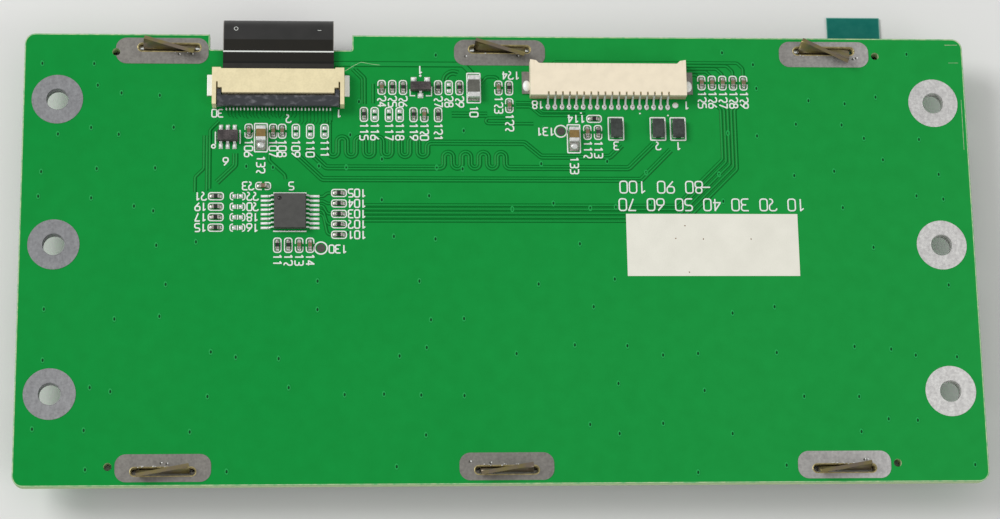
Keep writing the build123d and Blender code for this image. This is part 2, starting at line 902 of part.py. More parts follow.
def empty_sites():
    """Places with bare pads and no part as (x, y, lies along X)."""
    sites = [(x, from_edge(row_upper), False) for x in upper_empties]
    sites += [(x, from_edge(row_second), False) for x in second_empties]
    sites += [(x, from_edge(row_third), False) for x in third_empties]
    sites += [(empty_column, from_edge(touch_rows_top + row_step * k), True) for k in range(left_row_count)]
    return sites


def turned(part, x, y, along_x, z=0.0):
    """Part drawn along X, put at its place and turned where it stands along Y."""
    return Pos(x, y, z) * (part if along_x else Rot(0, 0, 90) * part)


def chip_bodies(sites, height, length=small_length, width=small_width, end=end_length):
    """Ceramic bodies between their end caps."""
    body = plate(length - 2 * end, width, height - end_proud, z=end_proud)
    return [turned(body, x, y, along_x, top_z) for x, y, along_x in sites]


def chip_ends(sites, height, length=small_length, width=small_width, end=end_length):
    """End caps of chip parts, a little proud of the body."""
    centre = length / 2 - end / 2
    ends = []
    for x, y, along_x in sites:
        for side in (-1, 1):
            cap = plate(end, width + 2 * end_proud, height, side * centre)
            ends.append(turned(cap, x, y, along_x, top_z))
    return ends


def solder_fillets(sites, length, width, height, reach):
    """Hollow-faced solder wedge at each end of the chip parts."""
    start = length / 2
    hollow = [(start + reach * out, height * up) for out, up in (fillet_low, fillet_high)]
    outline = Polygon((start, 0), (start + reach, 0), *hollow, (start, height), align=None)
    wedge = extrude(Plane.XZ * outline, width / 2, both=True)
    fillets = []
    for x, y, along_x in sites:
        for half_turn in (0, 180):
            fillets.append(turned(Rot(0, 0, half_turn) * wedge, x, y, along_x, top_z))
    return fillets


def large_sites():
    """The two large capacitors."""
    return [(x, from_edge(large_drop), False) for x in large_columns]


def inductor_site():
    """The chip inductor."""
    return [(inductor_column, from_edge(row_upper), False)]


def choke_sites():
    """The three line chokes."""
    return [(x, from_edge(choke_drop), False) for x in choke_columns]


def large_mounds():
    """Heaped solder on the lower pad of each large capacitor."""
    mounds = []
    for x, y, along_x in large_sites():
        low = y - large_length / 2 - large_solder_length
        high = low + large_solder_length
        slope = [(low + large_solder_length * out, top_z + large_solder_height * up)
                 for out, up in (mound_crown, mound_toe)]
        outline = [(low, top_z), (high, top_z), (high, top_z + large_solder_height)] + slope
        mounds.append(prism_along_x(outline, large_width, x))
    return mounds


def solder_joints():
    """Solder at the ends of the large chip parts."""
    joints = solder_fillets(inductor_site(), inductor_length, inductor_width,
                            inductor_fillet_height, fillet_reach)
    joints += large_mounds()
    for site in large_sites():
        fillets = solder_fillets([site], large_length, large_width, large_fillet_height, fillet_reach)
        joints.append(fillets[0])
    return group(joints)


def choke_bodies():
    """Ferrite bodies of the line chokes, notched at their four terminals."""
    body = plate(choke_length, choke_width, choke_height - pad_thickness, z=pad_thickness)
    corners = [(side_x * (choke_length - choke_terminal) / 2, side_y * (choke_width - choke_terminal) / 2)
               for side_x in (-1, 1) for side_y in (-1, 1)]
    for x, y in corners:
        body -= plate(choke_terminal, choke_terminal, choke_height / 2, x, y)
    return [turned(body, x, y, along_x, top_z) for x, y, along_x in choke_sites()]


def choke_terminals():
    """Four metal terminals under each choke."""
    terminals = []
    for x, y, along_x in choke_sites():
        for side_x in (-1, 1):
            for side_y in (-1, 1):
                block = plate(choke_terminal, choke_terminal, choke_height / 2,
                              side_x * (choke_length - choke_terminal) / 2,
                              side_y * (choke_width - choke_terminal) / 2)
                terminals.append(turned(block, x, y, along_x, top_z))
    return terminals


def package_body(length, width, height):
    """Moulded package with drafted sides above and below the lead line."""
    half = (height - package_standoff) / 2
    middle = package_standoff + half
    outline = Rectangle(length, width)
    body = Pos(0, 0, middle) * extrude(outline, half, taper=package_taper)
    return body + Pos(0, 0, middle) * extrude(outline, -half, taper=package_taper)


def gull_lead(inner, outer, height, width):
    """Bent lead along +Y from the package side at inner to the toe at outer."""
    low = pad_thickness
    level = package_standoff + (height - package_standoff) / 2 - lead_thickness / 2
    heel = outer - foot_length
    knee = inner + (heel - inner) * lead_knee
    outline = [
        (inner, level),
        (knee, level),
        (heel - lead_lean, low),
        (outer, low),
        (outer, low + lead_thickness),
        (heel + lead_lean, low + lead_thickness),
        (knee + 2 * lead_lean, level + lead_thickness),
        (inner, level + lead_thickness),
    ]
    return prism_along_x(outline, width)


def lead_rows(columns, body_width, span, height, width):
    """Leads on both long sides; columns give (offset, side)."""
    leads = []
    for offset, side in columns:
        lead = gull_lead(body_width / 2, span / 2, height, width)
        lead = Rot(0, 0, 0 if side > 0 else 180) * lead
        leads.append(Pos(offset, 0, 0) * lead)
    return leads


touch_chip_place = (touch_chip_column, from_edge(touch_chip_drop))
converter_place = (converter_column, from_edge(converter_drop))
transistor_place = (transistor_column, from_edge(row_upper))
touch_columns = [((index - (touch_lead_count - 1) / 2) * touch_lead_pitch, side)
                 for side in (1, -1) for index in range(touch_lead_count)]
converter_columns = [(step * small_lead_pitch, side) for side in (1, -1) for step in (-1, 0, 1)]
transistor_columns = [(-small_lead_pitch, 1), (small_lead_pitch, 1), (0, -1)]


def placed(parts, place, turn=0):
    """Parts of one package moved to its place on the board."""
    x, y = place
    return [Pos(x, y, top_z) * Rot(0, 0, turn) * part for part in parts]


def package_pads(columns, span, width, reach):
    """Copper pads under the feet of a package."""
    pads = []
    inner = span / 2 - foot_length
    for offset, side in columns:
        y = side * (inner + span / 2 + reach) / 2
        pads.append(plate(width, span / 2 + reach - inner, pad_thickness, offset, y))
    return pads


def copper_pads():
    """Bare and part-covered copper pads, apart from those hidden by chip parts."""
    pads = []
    for x, y, along_x in empty_sites():
        for side in (-1, 1):
            pad = plate(pad_length, pad_width, pad_thickness, side * pad_spacing / 2)
            pads.append(turned(pad, x, y, along_x, top_z))
    touch_pads = package_pads(touch_columns, touch_lead_span, touch_lead_width + 2 * touch_pad_side,
                              touch_pad_reach)
    pads += placed(touch_pads, touch_chip_place, 90)
    converter_pads = package_pads(converter_columns, converter_span,
                                  small_lead_width + 2 * converter_pad_side, small_pad_reach)
    pads += placed(converter_pads, converter_place)
    transistor_pads = package_pads(transistor_columns, transistor_span,
                                   small_lead_width + 2 * transistor_pad_side, small_pad_reach)
    pads += placed(transistor_pads, transistor_place)
    for side in (-1, 1):
        x = flex_x + side * (socket_length + socket_tab_reach) / 2
        y = socket_y + socket_tab_offset
        pads.append(plate(socket_tab_reach, socket_tab_length, pad_thickness, x, y, top_z))
        x = header_x + side * (header_length + header_tab_reach) / 2
        y = header_back_y + header_tab_length / 2 + header_tab_offset
        pads.append(plate(header_tab_reach, header_tab_length, pad_thickness, x, y, top_z))
    return group(pads)


def test_pads():
    """Two round test pads."""
    return group([disc(test_pad_radius, pad_thickness, x, from_edge(drop), top_z)
                  for x, drop in test_pad_places])


def white_print_block():
    """Bare white printed field for a label."""
    return plate(print_length, print_width, print_thickness, print_x, from_edge(print_from_edge), top_z)


def large_bodies():
    """Ceramic bodies of the two large capacitors."""
    return chip_bodies(large_sites(), large_height, large_length, large_width, large_end)


def large_ends():
    """End caps of the large capacitors and of the inductor."""
    caps = chip_ends(large_sites(), large_height, large_length, large_width, large_end)
    return caps + chip_ends(inductor_site(), inductor_height, inductor_length, inductor_width, inductor_end)


def build():
    """Every piece of the module by node name."""
    small_caps = capacitor_sites()
    touch_body = package_body(touch_chip_length, touch_chip_width, touch_chip_height)
    touch_leads = lead_rows(touch_columns, touch_chip_width, touch_lead_span, touch_chip_height,
                            touch_lead_width)
    converter_body = package_body(converter_length, converter_width, converter_height)
    converter_leads = lead_rows(converter_columns, converter_width, converter_span, converter_height,
                                small_lead_width)
    transistor_body = package_body(converter_length, transistor_width, converter_height)
    transistor_leads = lead_rows(transistor_columns, transistor_width, transistor_span,
                                 converter_height, small_lead_width)
    small_ends = chip_ends(small_caps, capacitor_height) + chip_ends(diode_sites(), capacitor_height)
    return {
        "protective_film": protective_film(),
        "pull_tab": pull_tab(),
        "touch_film": touch_film(),
        "touch_spacer": touch_spacer(),
        "touch_glass": touch_glass(),
        "touch_tape": touch_tape(),
        "touch_tail": touch_tail(),
        "bezel_frame": bezel_frame(),
        "lcd_gasket": lcd_gasket(),
        "front_polariser": front_polariser(),
        "colour_filter_glass": colour_filter_glass(),
        "tft_glass": tft_glass(),
        "driver_chip": driver_chip(),
        "rear_polariser": rear_polariser(),
        "backlight_frame": backlight_frame(),
        "prism_film": backlight_sheet(prism_thickness, prism_z, film_inset),
        "diffuser_film": backlight_sheet(diffuser_thickness, diffuser_z, film_inset),
        "light_guide": backlight_sheet(guide_thickness, guide_z, film_inset / 2),
        "reflector_film": backlight_sheet(reflector_thickness, reflector_z, film_inset / 2),
        "backlight_leds": backlight_leds(),
        "led_strip": led_strip(),
        "rear_tape": rear_tape(),
        "circuit_board": circuit_board(),
        "ring_lands": ring_lands(),
        "slot_lands": slot_lands(),
        "display_flex": display_flex(),
        "flex_stiffener": flex_stiffener(),
        "socket_housing": socket_housing(),
        "socket_contacts": socket_contacts(),
        "socket_lock": socket_lock(),
        "socket_tabs": socket_tabs(),
        "header_housing": header_housing(),
        "header_pins": header_pins(),
        "header_tabs": header_tabs(),
        "touch_controller": group(placed([touch_body], touch_chip_place, 90)),
        "touch_controller_leads": group(placed(touch_leads, touch_chip_place, 90)),
        "converter": group(placed([converter_body], converter_place)),
        "converter_leads": group(placed(converter_leads, converter_place)),
        "transistor": group(placed([transistor_body], transistor_place)),
        "transistor_leads": group(placed(transistor_leads, transistor_place)),
        "resistors": group(chip_bodies(resistor_sites(), resistor_height)),
        "resistor_ends": group(chip_ends(resistor_sites(), resistor_height)),
        "small_capacitors": group(chip_bodies(small_caps, capacitor_height)),
        "capacitor_ends": group(small_ends),
        "surge_diode": group(chip_bodies(diode_sites(), capacitor_height)),
        "large_capacitors": group(large_bodies()),
        "inductor": group(chip_bodies(inductor_site(), inductor_height, inductor_length,
                                      inductor_width, inductor_end)),
        "large_ends": group(large_ends()),
        "chokes": group(choke_bodies()),
        "choke_terminals": group(choke_terminals()),
        "solder_joints": solder_joints(),
        "copper_pads": copper_pads(),
        "test_pads": test_pads(),
        "white_print_block": white_print_block(),
    }


os.makedirs("parts", exist_ok=True)
for name, shape in build().items():
    export_step(shape, f"parts/{name}.step")
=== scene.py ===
"""Looks of the touchscreen display: finishes, printed board detail, solder and studio."""

import math
import random

import bmesh
import bpy
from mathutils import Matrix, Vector
from mathutils.bvhtree import BVHTree


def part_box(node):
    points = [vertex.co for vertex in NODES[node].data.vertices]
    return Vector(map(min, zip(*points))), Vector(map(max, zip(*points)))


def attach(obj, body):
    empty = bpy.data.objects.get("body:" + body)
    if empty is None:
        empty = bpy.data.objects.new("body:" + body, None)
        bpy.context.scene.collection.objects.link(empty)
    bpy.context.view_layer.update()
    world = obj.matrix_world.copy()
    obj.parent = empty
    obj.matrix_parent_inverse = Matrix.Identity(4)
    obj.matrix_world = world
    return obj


bl_info = {
    "name": "Touchscreen display looks",
    "version": (1, 0, 0),
    "blender": (4, 5, 0),
    "location": "View3D > Sidebar > Display",
    "description": "Dresses the rear of a touchscreen display module, one group of pieces at a time",
    "category": "Object",
}

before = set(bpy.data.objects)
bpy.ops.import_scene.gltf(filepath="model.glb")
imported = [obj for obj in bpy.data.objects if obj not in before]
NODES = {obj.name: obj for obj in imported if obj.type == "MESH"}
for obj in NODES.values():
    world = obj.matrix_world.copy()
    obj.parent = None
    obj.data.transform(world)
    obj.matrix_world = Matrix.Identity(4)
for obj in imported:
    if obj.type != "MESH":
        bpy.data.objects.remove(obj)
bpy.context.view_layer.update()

MM = 0.001
NODE_SLOTS = {name: node.data.materials[0].name.split(".")[0] for name, node in NODES.items()}
MODULE = "module"
QUARTER = math.pi / 2
WHITE = (1.0, 1.0, 1.0, 1.0)


def box_mm(node):
    """Lowest and highest corner of a node, in millimetres."""
    low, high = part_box(node)
    return Vector(low) / MM, Vector(high) / MM


BOARD_LOW, BOARD_HIGH = box_mm("circuit_board")
TOP = BOARD_HIGH.z


def tint(red, green, blue):
    """Linear colour of a screen colour given in 0 to 255."""
    shares = [channel / 255 for channel in (red, green, blue)]
    return tuple(s / 12.92 if s <= 0.04045 else ((s + 0.055) / 1.055) ** 2.4 for s in shares) + (1.0,)


def colour(name, description, red, green, blue):
    """Colour property whose default is a screen colour."""
    return bpy.props.FloatVectorProperty(name=name, description=description, subtype="COLOR",
                                         size=4, min=0.0, max=1.0, default=tint(red, green, blue))


def length(name, description, millimetres):
    """Length property whose default is given in millimetres."""
    return bpy.props.FloatProperty(name=name, description=description, subtype="DISTANCE",
                                   unit="LENGTH", min=0.0, precision=5, default=millimetres * MM)


def share(name, description, default):
    """Property between nothing and all."""
    return bpy.props.FloatProperty(name=name, description=description, subtype="FACTOR",
                                   min=0.0, max=1.0, default=default)


class BoardLooks(bpy.types.PropertyGroup):
    """Colours and small sizes of the bare board."""

    # The two mask colours run across the board from left to right; the lighter right is painted light.
    mask: colour("Solder mask", "Green lacquer at the board's left", 2, 141, 55)
    mask_far: colour("Far solder mask", "Green lacquer at the board's right", 26, 151, 64)
    gap: colour("Etched gap", "Lacquer over bare laminate beside a track", 4, 112, 40)
    track: colour("Track", "Lacquer over a copper track", 24, 148, 64)
    laminate: colour("Laminate", "Sawn edge of the board", 196, 214, 170)
    gold: colour("Plated wall", "Plating round and inside the slots", 180, 166, 118)
    rim_width: length("Rim width", "Width of the pale line along the edge", 0.14)
    track_width: length("Track width", "Width of one track", 0.2)
    gap_width: length("Gap width", "Etched gap on each side of a track", 0.16)
    track_height: length("Track height", "How far a track stands proud", 0.02)
    mask_gloss: share("Mask roughness", "Roughness of the lacquer", 0.45)


class PrintLooks(bpy.types.PropertyGroup):
    """White print on the board."""

    ink: colour("Ink", "White print", 240, 244, 238)
    block: colour("Block", "Large white block", 237, 235, 222)
    speck: colour("Specks", "Small brown specks in the block", 120, 84, 50)
    line: length("Line width", "Width of a printed figure's line", 0.2)
    outline: length("Outline width", "Width of the outline round a small part", 0.17)
    figure_height: length("Figure height", "Height of a small figure", 1.12)
    large_figure_height: length("Large figure height", "Height of the large figures", 1.7)


class MetalLooks(bpy.types.PropertyGroup):
    """Colours of the metals."""

    # Each pair of tin colours runs from plain to bright; the bright end is a painted lamp reflection.
    tin_near: colour("Tin, left", "Tinned rings at the left", 140, 141, 143)
    tin_far: colour("Tin, right", "Tinned rings at the right", 226, 225, 222)
    oval_dull: colour("Dull tin", "Ovals round the tab slots", 136, 133, 127)
    oval_bright: colour("Bright tin", "Oval at the lower right", 208, 207, 205)
    pad_dark: colour("Dark pad", "Pads beside the chip parts and the test pads", 92, 90, 84)
    flux: colour("Flux", "Brown flux round the solder", 84, 70, 48)
    solder: colour("Solder", "Solder joints and end caps", 242, 243, 240)
    contact: colour("Contacts", "Leads, pins and socket contacts", 238, 240, 237)
    steel: colour("Bezel steel", "Stamped bezel", 168, 166, 160)
    tab: colour("Tab steel", "Twisted tabs, darker and brown", 128, 116, 102)


class MouldLooks(bpy.types.PropertyGroup):
    """Colours of plastics, films and ceramics."""

    socket: colour("Flex socket", "Beige nylon", 240, 226, 182)
    header: colour("Wire header", "Ivory nylon", 243, 230, 204)
    lock: colour("Lock", "Black flip lock", 52, 54, 58)
    flex: colour("Flex", "Black cover film of the flex", 24, 22, 15)
    # The paler band of the flex is painted sheen.
    flex_band: colour("Flex band", "Paler band of the flex", 46, 46, 45)
    stiffener: colour("Stiffener", "Film that stiffens the flex end", 25, 21, 13)
    pull_tab: colour("Pull tab", "Teal film", 12, 106, 95)
    package: colour("Package", "Black mould compound", 74, 74, 71)
    ceramic: colour("Ceramic", "Brown capacitor body", 130, 110, 84)
    large_ceramic: colour("Large ceramic", "Ochre body of a large capacitor", 140, 114, 62)
    resistor: colour("Resistor face", "Dark glaze of a resistor", 34, 32, 32)
    ferrite: colour("Ferrite", "Dark grey chokes", 60, 66, 62)
    inductor: colour("Inductor", "Grey inductor body", 98, 98, 90)


class StageLooks(bpy.types.PropertyGroup):
    """Floor, light and camera."""

    floor: colour("Floor", "Pale floor", 232, 232, 230)
    sky: share("Sky light", "Strength of the even light", 0.5)
    key_power: bpy.props.FloatProperty(name="Key power", description="Power of the key lamp",
                                       unit="POWER", min=0.0, default=6.0)
    fill_power: bpy.props.FloatProperty(name="Fill power", description="Power of the fill lamp",
                                        unit="POWER", min=0.0, default=2.0)
    lens: bpy.props.FloatProperty(name="Lens", description="Focal length of the camera",
                                  unit="CAMERA", min=1.0, default=91.311)


GROUPS = {
    "display_board": BoardLooks,
    "display_print": PrintLooks,
    "display_metal": MetalLooks,
    "display_mould": MouldLooks,
    "display_stage": StageLooks,
}


class Value:
    """One output socket; sums with it add the Math nodes they need."""

    def __init__(self, tree, socket):
        self.tree = tree
        self.socket = socket

    def maths(self, operation, *others):
        """Math node whose first input is this value."""
        return self.tree.node("ShaderNodeMath", {"operation": operation}, dict(enumerate((self,) + others)))

    def output(self, name):
        """Another output of the same node."""
        return Value(self.tree, self.socket.node.outputs[name])

    def __add__(self, other):
        return self.maths("ADD", other)

    __radd__ = __add__

    def __sub__(self, other):
        return self.maths("SUBTRACT", other)

    def __rsub__(self, other):
        return self.tree.node("ShaderNodeMath", {"operation": "SUBTRACT"}, {0: other, 1: self})

    def __mul__(self, other):
        return self.maths("MULTIPLY", other)

    __rmul__ = __mul__

    def __truediv__(self, other):
        return self.maths("DIVIDE", other)

    def __gt__(self, other):
        return self.maths("GREATER_THAN", other)

    def __lt__(self, other):
        return self.maths("LESS_THAN", other)

    def __abs__(self):
        return self.maths("ABSOLUTE")


class Tree:
    """Adds nodes and links to one node tree."""

    def __init__(self, tree):
        self.tree = tree

    def node(self, kind, settings=None, sockets=None, output=0):
        """New node: its settings first, then its sockets; gives one output."""
        made = self.tree.nodes.new(kind)
        for name, value in (settings or {}).items():
            setattr(made, name, value)
        for key, value in (sockets or {}).items():
            if isinstance(value, Value):
                self.tree.links.new(value.socket, made.inputs[key])
            else:
                made.inputs[key].default_value = value
        return Value(self, made.outputs[output]) if len(made.outputs) else made

    def attribute(self, name, kind="FLOAT"):
        """Named attribute of the points."""
        return self.node("GeometryNodeInputNamedAttribute", {"data_type": kind}, {"Name": name})


class Finish(Tree):
    """A material made of one principled shader and the patterns that feed it."""

    def __init__(self, name):
        self.material = bpy.data.materials.new(name)
        self.material.use_nodes = True
        self.material.node_tree.nodes.clear()
        super().__init__(self.material.node_tree)
        self.place = self.node("ShaderNodeTexCoord").output("Object")
        self.x = self.node("ShaderNodeSeparateXYZ", sockets={0: self.place})
        self.y = self.x.output("Y")
        self.z = self.x.output("Z")

    def noise(self, size, detail=2.0, stretch=(1.0, 1.0, 1.0)):
        """Soft patches about size millimetres across."""
        place = self.place
        if stretch != (1.0, 1.0, 1.0):
            place = self.node("ShaderNodeMapping", sockets={"Vector": place, "Scale": stretch})
        sockets = {"Vector": place, "Scale": 1 / (size * MM), "Detail": detail}
        return self.node("ShaderNodeTexNoise", sockets=sockets)

    def ramp(self, value, low, high):
        """Value carried from low..high to 0..1, and held there."""
        sockets = {"Value": value, 1: low, 2: high}
        return self.node("ShaderNodeMapRange", {"clamp": True}, sockets)

    def patches(self, size, detail, low, high):
        """Soft patches whose middle range, low..high, is spread over 0..1."""
        return self.ramp(self.noise(size, detail), low, high)

    def mix(self, factor, first, second):
        """Colour between two colours."""
        return self.node("ShaderNodeMix", {"data_type": "RGBA"}, {0: factor, 6: first, 7: second}, 2)

    def multiply(self, first, second, factor=1.0):
        """Colour times colour."""
        settings = {"data_type": "RGBA", "blend_type": "MULTIPLY"}
        return self.node("ShaderNodeMix", settings, {0: factor, 6: first, 7: second}, 2)

    def bump(self, height, depth, strength=1.0):
        """Normal raised by a pattern, depth in millimetres."""
        sockets = {"Height": height, "Distance": depth * MM, "Strength": strength}
        return self.node("ShaderNodeBump", sockets=sockets)

    def shade(self, **sockets):
        """Principled shader with these sockets, joined to the surface."""
        named = {key.replace("_", " "): value for key, value in sockets.items()}
        shader = self.node("ShaderNodeBsdfPrincipled", sockets=named)
        self.node("ShaderNodeOutputMaterial", sockets={"Surface": shader})
        return self.material


MADE = {}


def shared(name, make, *given):
    """Finish painted by make(paint, ...) at its first use and shared after it."""
    def once():
        if name not in MADE:
            MADE[name] = make(Finish(name), *given)
        return MADE[name]
    return once


def finish(maker):
    """Shared finish named after the function that paints it."""
    return shared(maker.__name__, maker)


def looks(group):
    """One of the scene's property groups."""
    return getattr(bpy.context.scene, group)


def looked_up(base):
    """Colour of a property given as (group, name); a plain colour as it is."""
    return getattr(looks(base[0]), base[1]) if isinstance(base[0], str) else base


def toned(base, factor):
    """Colour made darker or lighter by a factor."""
    return tuple(min(1.0, channel * factor) for channel in base[:3]) + (1.0,)


def grey(level):
    """Neutral colour of one level."""
    return (level, level, level, 1.0)


def speckled(paint, base, size, amount):
    """Base colour made lighter and darker in soft patches."""
    patches = paint.patches(size, 3.0, 0.35, 0.65)
    return paint.mix(patches, toned(base, 1 - amount), toned(base, 1 + amount))


LACQUER_SHINE = 0.1
SAWN_MARGIN = 0.04
FLEX_LINE_Y = 29.27
FLEX_BAND_Y = 31.03
FLEX_SHADE_Y = 27.95


@finish
def solder_mask(paint):
    """Green lacquer over woven laminate, pale where the board is sawn."""
    board = looks("display_board")
    # Painted light: the lacquer turns lighter towards the board's right, mixed with large soft patches of
    # tone.
    along = paint.ramp(paint.x, BOARD_LOW.x * MM, BOARD_HIGH.x * MM)
    light_and_tone_drift = along * 0.85 + paint.noise(24.0, 1.0) * 0.3 - 0.08
    green = paint.mix(light_and_tone_drift, board.mask, board.mask_far)
    cloud = paint.patches(2.2, 4.0, 0.3, 0.75)
    green = paint.multiply(green, paint.mix(cloud, (0.93, 0.95, 0.93, 1.0), (1.05, 1.03, 1.05, 1.0)))
    depth = TOP - paint.z / MM
    sawn = (depth > SAWN_MARGIN) * (depth < BOARD_HIGH.z - BOARD_LOW.z - SAWN_MARGIN)
    saw_marks = paint.mix(paint.noise(0.4, 3.0, (1.0, 1.0, 0.15)), (0.75, 0.8, 0.72, 1.0), WHITE)
    edge = paint.multiply(board.laminate, saw_marks)
    weave = paint.noise(0.32, 2.0, (1.0, 0.35, 1.0)) + paint.noise(0.32, 2.0, (0.35, 1.0, 1.0))
    rough = paint.ramp(weave, 0.6, 1.4) * 0.08 + board.mask_gloss
    return paint.shade(Base_Color=paint.mix(sawn, green, edge), Roughness=sawn * 0.35 + rough,
                       Specular_IOR_Level=LACQUER_SHINE, Normal=paint.bump(weave, 0.012, 0.5))


def lacquer(paint, base):
    """Lacquer of one shade over or beside the copper."""
    shade = looked_up(base)
    cloud = paint.noise(1.5, 3.0)
    # Painted light: each shade turns lighter towards the board's right.
    along = paint.ramp(paint.x + cloud * 0.02, BOARD_LOW.x * MM, BOARD_HIGH.x * MM)
    return paint.shade(Base_Color=paint.mix(along, shade, toned(shade, 1.12)),
                       Roughness=looks("display_board").mask_gloss,
                       Specular_IOR_Level=LACQUER_SHINE, Normal=paint.bump(cloud, 0.01, 0.4))


# Dark where the copper is etched away, light over a track; heaped round a via and dark in its dip.
gap_lacquer = shared("gap_lacquer", lacquer, ("display_board", "gap"))
track_lacquer = shared("track_lacquer", lacquer, ("display_board", "track"))
via_ring = shared("via_ring", lacquer, tint(34, 158, 76))
via_shadow = shared("via_shadow", lacquer, tint(6, 70, 30))


def tinned(paint, plain_tone, bright, lean, start, end):
    """Tinned land, finely marked, with a painted lamp reflection that turns it from its plain tone to bright
    between start and end along the board.
    """
    grain = paint.noise(0.35, 5.0)
    streak = paint.noise(0.5, 4.0, (1.0, 0.25, 1.0))
    worn = paint.ramp(grain + streak * 0.5, 0.5, 0.95)
    marks = paint.mix(worn, (0.8, 0.79, 0.8, 1.0), grey(1.1))
    # Painted lamp reflection, brighter towards the board's right and lower edge.
    painted_reflection = paint.ramp(paint.x - paint.y * lean, start, end)
    base = paint.mix(painted_reflection, looked_up(plain_tone), looked_up(bright))
    return paint.shade(Base_Color=paint.multiply(base, marks), Metallic=0.5,
                       Roughness=paint.ramp(grain, 0.2, 0.8) * 0.2 + 0.42,
                       Normal=paint.bump(grain + streak, 0.02, 0.7))


# Painted lamp reflection: rings turn bright all along the board, ovals at its lower right only.
tinned_ring = shared("tinned_ring", tinned, ("display_metal", "tin_near"), ("display_metal", "tin_far"),
                     0.5, -0.06, 0.07)
tinned_oval = shared("tinned_oval", tinned, ("display_metal", "oval_dull"), ("display_metal", "oval_bright"),
                     0.15, 0.03, 0.065)


@finish
def flux_stain(paint):
    """Brown flux and shade in the middle of a solder bead."""
    return paint.shade(Base_Color=speckled(paint, looks("display_metal").flux, 0.1, 0.25), Roughness=0.5)


@finish
def plated_wall(paint):
    """Pale brassy plating round and inside the slots."""
    grain = paint.noise(0.25, 4.0)
    base = speckled(paint, looks("display_board").gold, 0.5, 0.25)
    return paint.shade(Base_Color=base, Metallic=0.6, Roughness=paint.ramp(grain, 0.2, 0.8) * 0.2 + 0.3,
                       Normal=paint.bump(grain, 0.02, 0.6))


@finish
def laminate_rim(paint):
    """Pale frayed line along the board's edge."""
    fray = paint.patches(0.7, 4.0, 0.35, 0.7)
    board = looks("display_board")
    base = paint.mix(fray, board.laminate, tint(120, 190, 130))
    return paint.shade(Base_Color=base, Roughness=0.7, Normal=paint.bump(fray, 0.02, 0.5))


@finish
def white_ink(paint):
    """Print with a slightly uneven coat."""
    grain = paint.noise(0.2, 3.0)
    ink = looks("display_print").ink
    base = paint.mix(paint.ramp(grain, 0.25, 0.6), toned(ink, 0.88), ink)
    return paint.shade(Base_Color=base, Roughness=0.6, Normal=paint.bump(grain, 0.01, 0.5))


@finish
def white_print(paint):
    """Large printed block."""
    printed = looks("display_print")
    cloud = paint.patches(3.0, 3.0, 0.3, 0.7)
    base = paint.mix(cloud, tint(230, 228, 215), printed.block)
    return paint.shade(Base_Color=base, Roughness=0.55, Normal=paint.bump(paint.noise(0.4, 3.0), 0.01, 0.4))


@finish
def brown_speck(paint):
    """Speck of dirt in the white block."""
    base = speckled(paint, looks("display_print").speck, 0.1, 0.3)
    return paint.shade(Base_Color=base, Roughness=0.7)


def bare_metal(paint, base, roughness, grain_size, unevenness, metallic):
    """Bare metal with a fine grain."""
    shade = looked_up(base)
    grain = paint.noise(grain_size, 4.0)
    spread = paint.ramp(grain, 0.3, 0.7)
    return paint.shade(Base_Color=paint.mix(spread, toned(shade, 1 - 2 * unevenness), shade),
                       Metallic=metallic, Roughness=spread * 0.12 + roughness,
                       Normal=paint.bump(grain, 0.01, 0.5))


# Dull pads; smooth solder; solder with flux round the chips; leads and pins; anchor tabs.
dark_pad = shared("dark_pad", bare_metal, ("display_metal", "pad_dark"), 0.4, 0.15, 0.14, 0.5)
solder = shared("solder", bare_metal, ("display_metal", "solder"), 0.22, 0.3, 0.18, 0.3)
dull_solder = shared("dull_solder", bare_metal, tint(214, 210, 200), 0.26, 0.22, 0.4, 0.6)
bright_contact = shared("bright_contact", bare_metal, ("display_metal", "contact"), 0.24, 0.2, 0.14, 0.3)
anchor_tin = shared("anchor_tin", bare_metal, tint(250, 251, 248), 0.3, 0.6, 0.04, 0.04)


@finish
def socket_contact(paint):
    """Contacts of the flex socket, bright at their soldered tips and darkened under the lock as painted
    shade.
    """
    tip = box_mm("socket_contacts")[0].y
    # Painted shade of the lock over the contacts past their tips.
    painted_shade_behind = paint.ramp(paint.y / MM, tip + 0.1, tip + 0.2)
    base = paint.mix(painted_shade_behind, looks("display_metal").contact, tint(74, 84, 68))
    return paint.shade(Base_Color=base, Metallic=0.2, Roughness=0.32,
                       Normal=paint.bump(paint.noise(0.3, 3.0), 0.01, 0.5))


@finish
def stamped_steel(paint):
    """Bezel steel, brown and darker on the twisted tabs, olive in patches."""
    metal = looks("display_metal")
    brushed = paint.noise(0.5, 4.0, (0.12, 1.0, 1.0))
    rise = paint.ramp(paint.z, (TOP - 1.2) * MM, (TOP + 0.2) * MM)
    steel = paint.multiply(metal.steel, paint.mix(brushed, grey(0.8), grey(1.05)))
    tab_tone = paint.mix(paint.patches(2.2, 3.0, 0.4, 0.6), metal.tab, tint(138, 127, 84))
    return paint.shade(Base_Color=paint.mix(rise, steel, tab_tone), Metallic=0.8,
                       Roughness=paint.ramp(brushed, 0.2, 0.8) * 0.15 + 0.3,
                       Normal=paint.bump(brushed, 0.02, 0.5))


def moulded(paint, base, roughness, grain_size, unevenness, depth=0.01):
    """Moulded part with a fine mottled skin."""
    shade = looked_up(base)
    grain = paint.noise(grain_size, 4.0)
    spread = paint.ramp(grain + paint.noise(grain_size * 6, 2.0) - 0.5, 0.3, 0.7)
    return paint.shade(Base_Color=paint.mix(spread, toned(shade, 1 - 2 * unevenness), shade),
                       Roughness=spread * 0.1 + roughness, Normal=paint.bump(grain, depth, 0.6))


